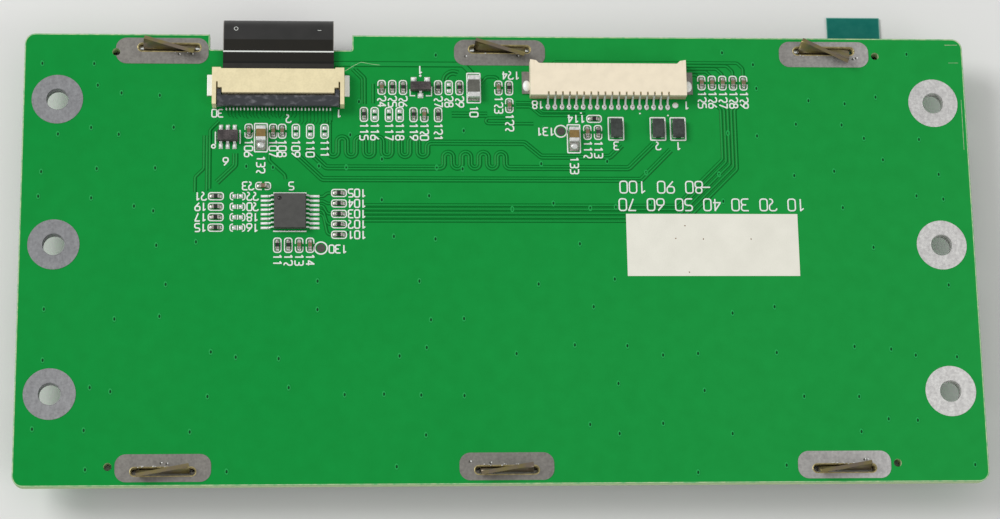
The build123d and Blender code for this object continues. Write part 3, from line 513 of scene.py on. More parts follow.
# Flex socket; chip packages, the small ones coarser and browner; capacitors; the glaze of a
# resistor; pressed ferrite; the inductor; film at the end of the flex and on the tails.
beige_nylon = shared("beige_nylon", moulded, ("display_mould", "socket"), 0.4, 0.3, 0.05)
mould_compound = shared("mould_compound", moulded, ("display_mould", "package"), 0.5, 0.12, 0.1, 0.015)
granular_compound = shared("granular_compound", moulded, tint(80, 72, 72), 0.42, 0.22, 0.32, 0.03)
ceramic_brown = shared("ceramic_brown", moulded, ("display_mould", "ceramic"), 0.4, 0.2, 0.12)
ceramic_ochre = shared("ceramic_ochre", moulded, ("display_mould", "large_ceramic"), 0.35, 0.3, 0.12)
resistor_face = shared("resistor_face", moulded, ("display_mould", "resistor"), 0.3, 0.2, 0.15)
ferrite = shared("ferrite", moulded, ("display_mould", "ferrite"), 0.45, 0.3, 0.26, 0.02)
inductor_face = shared("inductor_face", moulded, ("display_mould", "inductor"), 0.35, 0.3, 0.12, 0.02)
stiffener = shared("stiffener", moulded, ("display_mould", "stiffener"), 0.4, 0.5, 0.1)


@finish
def ivory_nylon(paint):
    """Wire header with painted shade: brown low on its back wall where it meets the pins, and faint marks
    near its front edge in place of the mouth notches.
    """
    base = speckled(paint, looks("display_mould").header, 1.5, 0.03)
    back = box_mm("header_housing")[0].y
    # Painted shade, brown, low on the back wall next to the pins.
    painted_shade_behind = paint.ramp(paint.y / MM, back + 0.12, back + 0.02)
    low = paint.ramp(paint.z / MM, TOP + 2.0, TOP + 1.1) * painted_shade_behind * 0.7
    # Painted shade marks one millimetre apart near the front edge, in place of the mouth notches.
    centre = middle(box_mm("header_housing"))
    beside = abs((paint.x / MM - centre.x).maths("FRACT") - 0.5) < 0.07
    front = paint.ramp(paint.y / MM, centre.y + 1.4, centre.y + 2.5)
    base = paint.mix(beside * front * 0.35, base, tint(196, 176, 140))
    return paint.shade(Base_Color=paint.mix(low, base, tint(150, 122, 84)), Roughness=0.42,
                       Normal=paint.bump(paint.noise(0.3, 4.0), 0.008, 0.5))


@finish
def black_nylon(paint):
    """Flip lock, scuffed to grey in patches."""
    scuff = paint.ramp(paint.noise(0.7, 6.0, (0.8, 1.2, 1.0)), 0.52, 0.74)
    return paint.shade(Base_Color=paint.mix(scuff, looks("display_mould").lock, tint(104, 104, 108)),
                       Roughness=scuff * 0.2 + 0.32, Normal=paint.bump(paint.noise(0.3, 3.0), 0.015, 0.6))


def side_cuts(paint, node, inner, outer):
    """Rises to one at a node's left and right edges, from inner to outer millimetres off them."""
    low, high = box_mm(node)
    half = (high.x - low.x) / 2
    return paint.ramp(abs(paint.x / MM - (low.x + high.x) / 2), half - inner, half - outer)


@finish
def black_flex(paint):
    """Black cover film, paler beyond the board as painted sheen, darkened under the lock as painted shade,
    and pale along its cut edges as a painted edge highlight.
    """
    mould = looks("display_mould")
    # Painted sheen: the film is paler in a band beyond the board.
    beyond = paint.ramp(paint.y / MM, FLEX_BAND_Y, FLEX_BAND_Y + 0.07)
    film = paint.mix(beyond, mould.flex, mould.flex_band)
    # Painted shade of the lock on the film.
    painted_shade_under_lock = paint.ramp(paint.y / MM, FLEX_SHADE_Y, FLEX_SHADE_Y - 0.2)
    film = paint.multiply(film, (0.35, 0.33, 0.3, 1.0), painted_shade_under_lock)
    haze = paint.mix(paint.patches(2.5, 3.0, 0.3, 0.7), grey(0.88), (1.12, 1.1, 1.1, 1.0))
    # Painted edge highlight along the film's sides, only beyond the white line.
    bare = paint.ramp(paint.y / MM, FLEX_LINE_Y, FLEX_LINE_Y + 0.2)
    cut = side_cuts(paint, "display_flex", 0.13, 0.05) * bare
    return paint.shade(Base_Color=paint.mix(cut, paint.multiply(film, haze), tint(150, 146, 140)),
                       Roughness=0.42, Specular_IOR_Level=0.3,
                       Normal=paint.bump(paint.noise(1.2, 2.0), 0.02, 0.3))


@finish
def teal_film(paint):
    """Pull tab, paler at its cut edges."""
    end = box_mm("pull_tab")[1].y
    head = paint.ramp(paint.y / MM, end - 0.16, end - 0.05)
    cut = side_cuts(paint, "pull_tab", 0.14, 0.04).maths("MAXIMUM", head)
    patches = paint.patches(1.5, 4.0, 0.3, 0.7)
    base = paint.mix(patches, looks("display_mould").pull_tab, tint(30, 116, 104))
    return paint.shade(Base_Color=paint.mix(cut, base, tint(120, 176, 162)), Roughness=0.4,
                       Specular_IOR_Level=0.12, Normal=paint.bump(paint.noise(0.8, 3.0), 0.02, 0.4))


def layer(paint, base, roughness, alpha):
    """Sheet, film or foam of the screen, with a faint unevenness."""
    grain = paint.noise(2.0, 3.0)
    shade = paint.mix(paint.ramp(grain, 0.3, 0.7), toned(base, 0.86), base)
    return paint.shade(Base_Color=shade, Roughness=paint.ramp(grain, 0.2, 0.8) * 0.06 + roughness,
                       Alpha=alpha, Normal=paint.bump(grain, 0.004, 0.3))


# Screen colour, roughness and alpha of each layer's slot.
LAYERS = {
    "clear_film": ((170, 185, 185), 0.12, 0.04),
    "sensor_film": ((170, 176, 174), 0.12, 0.05),
    "adhesive": ((34, 34, 36), 0.5, 1.0),
    "sheet_glass": ((150, 160, 158), 0.05, 0.05),
    "polariser": ((20, 21, 24), 0.28, 1.0),
    "foam": ((36, 36, 38), 0.8, 1.0),
    "silicon": ((66, 66, 72), 0.25, 1.0),
    "white_plastic": ((232, 232, 228), 0.45, 1.0),
    "optical_film": ((214, 216, 214), 0.3, 1.0),
    "acrylic": ((206, 214, 212), 0.1, 0.7),
    "led_resin": ((236, 220, 150), 0.35, 1.0),
}


def dress(node, material):
    """Gives a CAD node a material."""
    for place in NODES[node].material_slots:
        place.material = material


def merged(node):
    """Closed copy of a node's mesh, its doubled corners merged."""
    shape = bmesh.new()
    shape.from_mesh(NODES[node].data)
    bmesh.ops.remove_doubles(shape, verts=shape.verts, dist=1e-7)
    return shape


def pieces_of(node):
    """Corners of each separate solid of a node, in millimetres."""
    shape = merged(node)
    waiting = set(shape.verts)
    found = []
    while waiting:
        stack = [waiting.pop()]
        points = []
        while stack:
            corner = stack.pop()
            points.append(corner.co / MM)
            for edge in corner.link_edges:
                other = edge.other_vert(corner)
                if other in waiting:
                    waiting.remove(other)
                    stack.append(other)
        low = Vector([min(point[axis] for point in points) for axis in range(3)])
        high = Vector([max(point[axis] for point in points) for axis in range(3)])
        found.append((low, high))
    shape.free()
    return sorted(found, key=lambda pair: (round(pair[0].y, 3), round(pair[0].x, 3)))


def middle(pair):
    """Centre of a pair of corners."""
    return (pair[0] + pair[1]) / 2


def surface(node, x, y):
    """Height of a node's upper face at a place, in millimetres."""
    shape = merged(node)
    place = BVHTree.FromBMesh(shape).ray_cast(Vector((x * MM, y * MM, 0.05)), Vector((0, 0, -1)))[0]
    shape.free()
    if place is None:
        raise RuntimeError(node + " has no face at the place asked for")
    return place.z / MM


def add_object(name, data):
    """New object in the scene's collection."""
    made = bpy.data.objects.new(name, data)
    bpy.context.scene.collection.objects.link(made)
    return made


def rounded(node, width):
    """Fine bevel on a node's edges, left live on the node."""
    body = NODES[node]
    weld = body.modifiers.new("weld", "WELD")
    weld.merge_threshold = 1e-7
    flat = body.modifiers.new("flat", "DECIMATE")
    flat.decimate_type = "DISSOLVE"
    flat.angle_limit = math.radians(1)
    bevel = body.modifiers.new("soft_edges", "BEVEL")
    bevel.width = width * MM
    bevel.segments = 2
    bevel.limit_method = "ANGLE"
    bevel.angle_limit = math.radians(35)
    bevel.harden_normals = True


def dress_all(**pieces):
    """Gives each node its finish, and fine bevels where a width is given with it."""
    for node, (made, width) in pieces.items():
        dress(node, made())
        if width:
            rounded(node, width)


def start_tree(name, result, **inputs):
    """New geometry tree with its named inputs and its result; gives the tree and the inputs' node."""
    tree = bpy.data.node_groups.new(name, "GeometryNodeTree")
    for label, kind in inputs.items():
        tree.interface.new_socket(label, in_out="INPUT", socket_type="NodeSocket" + kind)
    tree.interface.new_socket(result, in_out="OUTPUT", socket_type="NodeSocketGeometry")
    build = Tree(tree)
    return build, build.node("NodeGroupInput")


def end_tree(build, given, result, shapes):
    """Makes the shapes real, gives them the material and hands them out."""
    real = build.node("GeometryNodeRealizeInstances", sockets={"Geometry": shapes})
    done = build.node("GeometryNodeSetMaterial",
                      sockets={"Geometry": real, "Material": given.output("Material")})
    build.node("NodeGroupOutput", sockets={result: done})
    return build.tree


def ribbon_tree():
    """Turns drawn lines into raised bands with rounded bends."""
    build, given = start_tree("ribbon", "Bands", Lines="Geometry", Width="Float", Height="Float",
                              Steps="Int", Material="Material")
    lines = build.node("GeometryNodeMeshToCurve", sockets={"Mesh": given})
    bent = build.node("GeometryNodeFilletCurve", {"mode": "POLY"},
                      {"Curve": lines, "Count": given.output("Steps"),
                       "Radius": build.attribute("bend"), "Limit Radius": True})
    level = build.node("GeometryNodeSetCurveNormal", {"mode": "Z_UP"}, {"Curve": bent})
    aside = build.node("ShaderNodeVectorMath", {"operation": "SCALE"},
                       {0: build.node("GeometryNodeInputNormal"), "Scale": build.attribute("lane")})
    moved = build.node("GeometryNodeSetPosition", sockets={"Geometry": level, "Offset": aside})
    section = build.node("GeometryNodeCurvePrimitiveQuadrilateral",
                         sockets={"Width": given.output("Width"), "Height": given.output("Height")})
    bands = build.node("GeometryNodeCurveToMesh",
                       sockets={"Curve": moved, "Profile Curve": section, "Fill Caps": True})
    return end_tree(build, given, "Bands", bands)


def scatter_tree():
    """Sets a copy of one small shape on every point, turned and sized by the point."""
    build, given = start_tree("scatter", "Copies", Points="Geometry", Shape="Object", Material="Material")
    about = build.node("ShaderNodeCombineXYZ", sockets={"Z": build.attribute("turn")})
    rotation = build.node("FunctionNodeEulerToRotation", sockets={"Euler": about})
    shape = build.node("GeometryNodeObjectInfo", sockets={"Object": given.output("Shape")}).output("Geometry")
    copies = build.node("GeometryNodeInstanceOnPoints",
                        sockets={"Points": given, "Instance": shape, "Rotation": rotation,
                                 "Scale": build.attribute("size", "FLOAT_VECTOR")})
    return end_tree(build, given, "Copies", copies)


TREES = {}


def grow(name, source, maker, inputs, body=MODULE):
    """Runs a geometry tree over a source mesh and keeps the plain result as a piece of the object."""
    if maker not in TREES:
        TREES[maker] = maker()
    tree = TREES[maker]
    grower = add_object(name + "_lines", source)
    modifier = grower.modifiers.new("grow", "NODES")
    modifier.node_group = tree
    for socket in tree.interface.items_tree:
        if socket.in_out == "INPUT" and socket.name in inputs:
            modifier[socket.identifier] = inputs[socket.name]
    bpy.context.view_layer.update()
    ready = grower.evaluated_get(bpy.context.evaluated_depsgraph_get())
    mesh = bpy.data.meshes.new_from_object(ready)
    bpy.data.objects.remove(grower)
    mesh.name = name
    piece = add_object(name, mesh)
    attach(piece, body)


def for_each(value, count):
    """A list as it is, or one value for each of count points."""
    return value if isinstance(value, list) else [value] * count


class Lines:
    """Drawn lines in millimetres, kept as the edges of one mesh."""

    def __init__(self):
        self.points = []
        self.edges = []
        self.bends = []
        self.lanes = []

    def draw(self, points, z, bend=0.0, lane=0.0, closed=False):
        """One line through points given as (x, y); height and bend are shared or one for each point."""
        start = len(self.points)
        count = len(points)
        self.points += [(x * MM, y * MM, height * MM) for (x, y), height in zip(points, for_each(z, count))]
        self.edges += [(start + i, start + i + 1) for i in range(count - 1)]
        if closed:
            self.edges.append((start + count - 1, start))
        self.bends += [radius * MM for radius in for_each(bend, count)]
        self.lanes += [lane * MM] * count

    def mesh(self, name):
        """Mesh of edges with the bend radius and lane of each point."""
        mesh = bpy.data.meshes.new(name)
        mesh.from_pydata(self.points, self.edges, [])
        for label, values in (("bend", self.bends), ("lane", self.lanes)):
            mesh.attributes.new(label, "FLOAT", "POINT").data.foreach_set("value", values)
        return mesh

    def bands(self, name, width, height, material, slot, steps=5):
        """The lines as raised bands."""
        inputs = {"Width": width, "Height": height, "Steps": steps, "Material": material}
        grow(name, self.mesh(name + "_drawn"), ribbon_tree, inputs)


def scatter(name, sites, shape, material):
    """Copies of a shape at sites (x, y, z, turn, size) in millimetres."""
    mesh = bpy.data.meshes.new(name + "_sites")
    mesh.from_pydata([(x * MM, y * MM, z * MM) for x, y, z, _, _ in sites], [], [])
    mesh.attributes.new("turn", "FLOAT", "POINT").data.foreach_set("value", [site[3] for site in sites])
    sizes = [part for site in sites for part in site[4]]
    mesh.attributes.new("size", "FLOAT_VECTOR", "POINT").data.foreach_set("vector", sizes)
    pattern = add_object(name + "_shape", shape)
    grow(name, mesh, scatter_tree, {"Shape": pattern, "Material": material})
    bpy.data.objects.remove(pattern)


def alike(places, z, size=(1, 1, 1)):
    """Sites of one height and size at places (x, y)."""
    return [(x, y, z, 0.0, size) for x, y in places]


def solid_mesh(name, shape):
    """Mesh of a closed shape, its faces turned outwards."""
    bmesh.ops.recalc_face_normals(shape, faces=shape.faces)
    mesh = bpy.data.meshes.new(name)
    shape.to_mesh(mesh)
    shape.free()
    return mesh


def lathe(name, profile, segments):
    """Closed round shape from (radius, height) points in millimetres, axis on Z."""
    shape = bmesh.new()
    rows = []
    for radius, height in profile:
        if radius == 0:
            rows.append([shape.verts.new((0, 0, height * MM))])
            continue
        ring = []
        for step in range(segments):
            angle = 2 * math.pi * step / segments
            place = (radius * MM * math.cos(angle), radius * MM * math.sin(angle), height * MM)
            ring.append(shape.verts.new(place))
        rows.append(ring)
    for lower, upper in zip(rows, rows[1:]):
        for step in range(segments):
            after = (step + 1) % segments
            corners = []
            for ring, index in ((lower, step), (lower, after), (upper, after), (upper, step)):
                corner = ring[index % len(ring)]
                if corner not in corners:
                    corners.append(corner)
            shape.faces.new(corners)
    for ring in (rows[0], rows[-1]):
        if len(ring) > 1 and profile[0] != profile[-1]:
            shape.faces.new(ring)
    bmesh.ops.remove_doubles(shape, verts=shape.verts, dist=1e-8)
    mesh = solid_mesh(name, shape)
    for face in mesh.polygons:
        face.use_smooth = True
    return mesh


def disc(name, radius, height, segments):
    """Thin round plate."""
    return lathe(name, [(0.0, 0.0), (radius, 0.0), (radius, height), (0.0, height)], segments)


def dome(name, segments):
    """Round lump one millimetre across and one high."""
    profile = [(0.0, -0.02), (0.5, 0.0), (0.44, 0.45), (0.27, 0.85), (0.0, 1.0)]
    return lathe(name, profile, segments)


def fillet_mesh(name, length, width, height):
    """Concave solder fillet, tall at the start and thin at the end, crowned across."""
    shape = bmesh.new()
    section = [(-1, 0), (-0.8, 0.75), (0, 1), (0.8, 0.75), (1, 0)]
    steps = 4
    thinnest = 0.014
    rows = []
    for step in range(steps + 1):
        along = step / steps
        rise = height * (1 - along) ** 2 + thinnest
        half = width / 2 * (1 - 0.3 * along * along)
        rows.append([shape.verts.new((length * along * MM, side * half * MM, up * rise * MM))
                     for side, up in section])
    for first, second in zip(rows, rows[1:]):
        for index in range(len(section)):
            after = (index + 1) % len(section)
            shape.faces.new((first[index], second[index], second[after], first[after]))
    shape.faces.new(rows[0])
    shape.faces.new(rows[-1])
    mesh = solid_mesh(name, shape)
    for face in mesh.polygons:
        face.use_smooth = len(face.vertices) == 4
    return mesh


# Strokes of each figure, one high; a stroke that ends where it starts is closed.
FIGURES = {
    "0": [[(0, 0), (0, 1), (0.6, 1), (0.6, 0), (0, 0)]],
    "1": [[(0.1, 0.8), (0.35, 1)], [(0.35, 1.04), (0.35, 0)]],
    "2": [[(0, 0.8), (0, 1), (0.6, 1), (0.6, 0.55), (0, 0), (0.6, 0)]],
    "3": [[(0, 1), (0.6, 1), (0.6, 0.5), (0.2, 0.5)], [(0.2, 0.5), (0.6, 0.5), (0.6, 0), (0, 0)]],
    "4": [[(0.45, 0), (0.45, 1.04)], [(0.45, 1), (0, 0.32)], [(-0.03, 0.32), (0.62, 0.32)]],
    "5": [[(0.6, 1), (0, 1), (0, 0.55), (0.6, 0.55), (0.6, 0), (0, 0)]],
    "6": [[(0.5, 1), (0.02, 0.45)], [(0, 0), (0.6, 0), (0.6, 0.55), (0, 0.55), (0, 0)]],
    "7": [[(0, 1), (0.64, 1)], [(0.6, 1), (0.2, 0)]],
    "8": [[(0.05, 0.52), (0.05, 1), (0.55, 1), (0.55, 0.52), (0.05, 0.52)],
          [(0, 0), (0, 0.52), (0.6, 0.52), (0.6, 0), (0, 0)]],
    "9": [[(0.1, 0), (0.58, 0.55)], [(0.6, 0.45), (0.6, 1), (0, 1), (0, 0.45), (0.6, 0.45)]],
}
FIGURE_ADVANCE = 0.78
FIGURE_WIDTH = 0.6
STROKE_STEP = 0.0015


def write_figures(lines, text, x, y, height, turn, z):
    """Figures drawn as strokes about (x, y), read along the direction turn."""
    total = figures_length(text, 1.0)
    cosine, sine = math.cos(turn), math.sin(turn)
    for place, figure in enumerate(text):
        for stroke in FIGURES.get(figure, []):
            points = []
            for across, up in stroke:
                u = (across + place * FIGURE_ADVANCE - total / 2) * height
                v = (up - 0.5) * height
                points.append((x + u * cosine - v * sine, y + u * sine + v * cosine))
            closed = len(stroke) > 2 and stroke[0] == stroke[-1]
            step = STROKE_STEP * (len(lines.points) % 7)
            lines.draw(points[:-1] if closed else points, z + step, bend=0.2 * height, closed=closed)


def figures_length(text, height):
    """How long a written text is."""
    return ((len(text) - 1) * FIGURE_ADVANCE + FIGURE_WIDTH) * height


class Site:
    """Place of one small chip part on the board."""

    def __init__(self, x, y, lying, kind):
        self.x = x
        self.y = y
        self.lying = lying
        self.kind = kind

    def at(self, along, across):
        """Board place of a point given along and across the chip."""
        if self.lying:
            return (self.x + along, self.y + across)
        return (self.x - across, self.y + along)


def small_sites():
    """Every small chip part and every empty place, read from the frame."""
    sites = []
    ends = [middle(pair) for node in ("resistor_ends", "capacitor_ends") for pair in pieces_of(node)]
    kinds = {"resistors": "resistor", "small_capacitors": "capacitor", "surge_diode": "capacitor"}
    for node, kind in kinds.items():
        for pair in pieces_of(node):
            centre = middle(pair)
            end = min(ends, key=lambda point: (point.xy - centre.xy).length)
            lying = abs(end.x - centre.x) > abs(end.y - centre.y)
            sites.append(Site(centre.x, centre.y, lying, kind))
    pads = [pair for pair in pieces_of("copper_pads") if is_small_pad(pair)]
    while pads:
        first = pads.pop(0)
        other = min(pads, key=lambda pair: (middle(pair) - middle(first)).length)
        pads.remove(other)
        centre = (middle(first) + middle(other)) / 2
        lying = abs(middle(first).x - middle(other).x) > 0.5
        sites.append(Site(centre.x, centre.y, lying, "empty"))
    return sorted(sites, key=lambda site: (round(site.y, 2), round(site.x, 2)))


SMALL_PAD = 0.62


def is_small_pad(pair):
    """True for a pad of an empty small place."""
    size = pair[1] - pair[0]
    return max(size.x, size.y) < SMALL_PAD


OUTLINE_HALF = (1.02, 0.51)
OUTLINE_BEND = 0.35
OUTLINE_GAPS = {"capacitor": 0.2, "empty": 0.62}


def draw_outline(lines, site, z):
    """Printed outline round one small place, open in the middle round some kinds."""
    long, wide = OUTLINE_HALF
    open_empty = site.kind == "empty" and site.lying
    if site.kind == "capacitor" or open_empty:
        gap = OUTLINE_GAPS[site.kind]
        for side in (-1, 1):
            corners = [(side * gap, wide), (side * long, wide), (side * long, -wide), (side * gap, -wide)]
            lines.draw([site.at(*corner) for corner in corners], z, OUTLINE_BEND)
    else:
        corners = [(-long, wide), (long, wide), (long, -wide), (-long, -wide)]
        lines.draw([site.at(*corner) for corner in corners], z, OUTLINE_BEND, closed=True)
    if open_empty:
        lines.draw([site.at(0, 0.35), site.at(0, -0.35)], z)


def arc(x, y, radius, start, end, steps=16):
    """Points on an arc, angles in degrees."""
    angles = [math.radians(start + (end - start) * i / steps) for i in range(steps + 1)]
    return [(x + radius * math.cos(angle), y + radius * math.sin(angle)) for angle in angles]


NOTCH = (-40.8, -20.8)
NOTCH_DEPTH = 2.25


def board_outline():
    """Corners of the board with its notch, going round."""
    notch_low, notch_high = NOTCH
    floor = BOARD_HIGH.y - NOTCH_DEPTH
    return [(BOARD_LOW.x, BOARD_LOW.y), (BOARD_HIGH.x, BOARD_LOW.y), (BOARD_HIGH.x, BOARD_HIGH.y),
            (notch_high, BOARD_HIGH.y), (notch_high, floor), (notch_low, floor),
            (notch_low, BOARD_HIGH.y), (BOARD_LOW.x, BOARD_HIGH.y)]


def inset(points, distance):
    """Square-cornered closed outline moved inwards."""
    result = []
    for index, (x, y) in enumerate(points):
        before = points[index - 1]
        after = points[(index + 1) % len(points)]
        enter = Vector((x - before[0], y - before[1])).normalized()
        leave = Vector((after[0] - x, after[1] - y)).normalized()
        inward = Vector((-enter.y, enter.x)) + Vector((-leave.y, leave.x))
        result.append((x + inward.x * distance, y + inward.y * distance))
    return result


TAB_SLOT_SIZE = (8.7, 1.1)
TAB_SLOTS = [(x, side * 30.1) for side in (1, -1) for x in (-46.4, 0.0, 46.4)]


def slot_path(x, y, grown):
    """Corners of a slot's outline, grown outwards."""
    long = TAB_SLOT_SIZE[0] / 2 + grown
    wide = TAB_SLOT_SIZE[1] / 2 + grown
    return [(x - long, y - wide), (x + long, y - wide), (x + long, y + wide), (x - long, y + wide)]


def meander(first, count, pitch, leg, near, far):
    """Up and down legs of a length-matching track, from left to right."""
    points = []
    for turn in range(count):
        centre = first + turn * pitch
        points += [(centre - leg, near), (centre - leg, far), (centre + leg, far), (centre + leg, near)]
    return points


def track_paths():
    """Centre lines of the tracks, each with the lanes that follow it."""
    pair = (-0.185, 0.185)
    broad = (-0.18, 0.0, 0.18)
    one = (0.0,)
    leg = 0.62
    paths = [
        (pair, [(-24.12, 19.5)] + meander(-23.5, 6, 2.5, leg, 17.0, 14.3)[1:-1]
         + [(-10.38, 16.27), (3.3, 16.27), (5.6, 14.28), (15.3, 14.28), (17.0, 16.0)]),
        (pair, [(-27.2, 15.3), (-24.5, 12.62)] + meander(-7.45, 4, 2.467, leg, 12.62, 14.8)
         + [(17.9, 12.62), (21.5, 16.2)]),
        (pair, [(-28.6, 14.4), (-25.0, 10.92), (19.6, 10.92), (23.9, 15.3)]),
        (broad, [(-23.4, 27.8), (-5.2, 27.8), (-3.9, 26.4)]),
        (one, [(-20.8, 27.0), (-19.45, 25.6), (-19.45, 21.9)]),
        (one, [(-20.3, 27.0), (-19.05, 25.75), (-19.05, 21.9)]),
        (one, [(-17.9, 24.9), (-17.9, 22.0)]),
        (one, arc(-6.6, 25.4, 1.0, 180, 60)),
        (one, arc(-6.6, 25.4, 1.45, 180, 60)),
        (one, [(-2.8, 25.0), (-1.9, 26.0), (-0.6, 26.0), (-0.25, 25.6)]),
        (one, [(-6.9, 20.6), (-1.9, 20.6)]),
        (one, [(-6.9, 20.2), (-1.9, 20.2)]),
        (one, [(1.4, 19.9), (-1.6, 19.9)] + arc(-1.7, 19.5, 0.4, 90, 270, 8) + [(4.6, 19.1)]),
        (one, [(2.2, 22.2), (4.5, 22.2), (6.0, 20.9), (12.0, 20.9)]),
        (one, [(2.2, 21.6), (4.2, 21.6), (5.6, 20.35), (12.0, 20.35)]),
        (one, [(-42.6, 9.0), (-42.6, 11.2), (-41.4, 12.4), (-41.4, 17.2)]),
        (one, [(-41.0, 9.2), (-41.0, 17.2)]),
        (one, [(-40.6, 9.5), (-40.6, 18.0), (-39.4, 19.3)]),
        (pair, [(-37.1, 14.6), (-37.1, 12.9), (-39.6, 10.4)]),
        (one, [(-32.4, 14.5), (-32.4, 13.6), (-30.2, 11.5), (-30.1, 10.9)]),
    ]
    chip_rows = zip((8.4, 7.75, 7.1, 6.45, 5.8), (8.9, 7.4, 5.9, 4.4, 2.9))
    for start, end in chip_rows:
        paths.append((one, [(-25.5, start), (-24.9, start), (-24.3, end), (-23.6, end)]))
    for lane in range(5):
        rise_x = 31.25 + 0.5 * lane
        low = 7.2 - 0.57 * lane
        high = 14.0 - 0.375 * lane
        cap_x = 28.65 + 1.5 * lane
        fan = abs(cap_x - rise_x)
        paths.append((one, [(-19.3, low), (rise_x - (high - low), low), (rise_x, high),
                            (rise_x, 21.3), (cap_x, 21.3 + fan)]))
        top_y = 28.25 - 0.45 * lane
        end_x = 34.65 - 1.5 * lane
        start_x = 26.3 if lane else 7.8
        paths.append((one, [(start_x, top_y), (end_x - 0.8, top_y), (end_x, top_y - 0.8), (end_x, 26.3)]))
    paths.append((one, [(7.0, 27.4), (7.8, 28.25)]))
    return paths


def socket_tracks():
    """Short tracks that leave the flex socket under each contact."""
    contacts = [middle(pair).x for pair in pieces_of("socket_contacts")]
    paths = []
    for index, x in enumerate(sorted(contacts)):
        end = 18.9 if x > -28.6 else 19.9 - 0.12 * (index % 3)
        slant = 0.5 if x < -31.0 else -0.5
        paths.append([(x + 0.25, 20.9), (x + 0.25, end + 0.4), (x + 0.25 + slant * 0.6, end)])
    return paths


SCRATCHES = (
    ([(-21.84, 26.74), (-20.71, 27.49), (-19.59, 28.09), (-18.18, 27.8), (-16.92, 27.66)], 0.6),
    ([(64.0, 31.15), (65.84, 31.16)], 0.0),
    ([(64.4, 28.45), (65.82, 28.47)], 0.0),
    ([(65.92, 22.9), (65.88, 15.5)], 0.0),
)


class DISPLAY_OT_board(bpy.types.Operator):
    """Lacquer, tinned lands, plated walls and the pale rim of the board"""

    bl_idname = "display.board"
    bl_label = "Dress the circuit board"

    def execute(self, context):
        board = looks("display_board")
        dress_all(circuit_board=(solder_mask, 0), ring_lands=(tinned_ring, 0), slot_lands=(tinned_oval, 0),
                  test_pads=(dark_pad, 0))
        self.rim(board)
        self.hole_walls()
        self.slot_walls()
        self.land_marks()
        self.scratches()
        return {"FINISHED"}

    def rim(self, board):
        """Pale line just inside the sawn edge."""
        lines = Lines()
        half = board.rim_width / MM / 2
        outline = inset(board_outline(), half + 0.02)
        corner, notch_edge, notch_corner = 1.4, 0.02, 0.35
        bends = [corner] * 3 + [notch_edge, notch_corner, notch_corner, notch_edge, corner]
        lines.draw(outline, TOP + 0.004, bend=bends, closed=True)
        lines.bands("board_rim", board.rim_width, 0.01 * MM, laminate_rim(), "solder_mask", 8)

    def hole_walls(self):
        """Plated barrel in each mounting hole."""
        outer, inner = 1.6, 1.52
        floor = BOARD_LOW.z - TOP
        profile = [(outer, floor), (outer, 0.06), (inner + 0.02, 0.06), (inner, 0.03), (inner, floor),
                   (outer, floor)]
        barrel = lathe("hole_wall", profile, 40)
        holes = [middle(pair).xy for pair in pieces_of("ring_lands")]
        scatter("hole_walls", alike(holes, TOP), barrel, tinned_ring())

    def slot_walls(self):
        """Pale brassy rim round each slot and plating down its wall."""
        rims = Lines()
        walls = Lines()
        for x, y in TAB_SLOTS:
            for lines, grown, z in ((rims, 0.07, TOP + 0.054), (walls, -0.035, (TOP + BOARD_LOW.z) / 2)):
                lines.draw(slot_path(x, y, grown), z, TAB_SLOT_SIZE[1] / 2 + grown, closed=True)
        rims.bands("slot_rims", 0.15 * MM, 0.012 * MM, plated_wall(), "tinned_copper", 8)
        height = TOP - BOARD_LOW.z - 0.04
        walls.bands("slot_walls", 0.05 * MM, height * MM, plated_wall(), "tinned_copper", 8)

    def land_marks(self):
        """Small filled vias in the lands, each with a bright fleck beside it, and painted glints of bright
        solder flecks along the slots' edges, most on the lower ones.
        """
        dice = random.Random(5)
        places = [(x + dice.uniform(-5.2, 5.2), y + math.copysign(1.35, y) * dice.uniform(-0.9, -0.7))
                  for x, y in TAB_SLOTS for _ in range(2)]
        spot = lathe("land_via", [(0.0, 0.0), (0.17, 0.0), (0.15, 0.012), (0.0, 0.014)], 12)
        scatter("land_vias", alike(places, TOP + 0.05), spot, dark_pad())
        level = TOP + 0.045
        flecks = alike([(x + 0.2, y + 0.06) for x, y in places], level, (0.24, 0.3, 0.08))
        # Painted glints: bright flecks along each slot's edge, most on the lower slots.
        for x, y in TAB_SLOTS:
            glint_count = 3 if y > 0 else 14
            brink = y + math.copysign(TAB_SLOT_SIZE[1] / 2 + 0.14, -y)
            for _ in range(glint_count):
                along = dice.uniform(-3.4, 3.4)
                beside = dice.uniform(-0.1, 0.1)
                size = (dice.uniform(0.14, 0.4), 0.16, 0.1)
                flecks.append((x + along, brink + beside, level, 0.0, size))
        scatter("land_flecks", flecks, dome("fleck", 6), solder())

    def scratches(self):
        """Pale scratches in the lacquer."""
        lines = Lines()
        for points, bend in SCRATCHES:
            lines.draw(points, TOP + 0.02, bend)
        lines.bands("lacquer_scratches", 0.07 * MM, 0.008 * MM, laminate_rim(), "solder_mask")


# Lines that cross lie at slightly different heights.
CROSSING_STEP = 0.0004
TRACK_BEND = 0.6


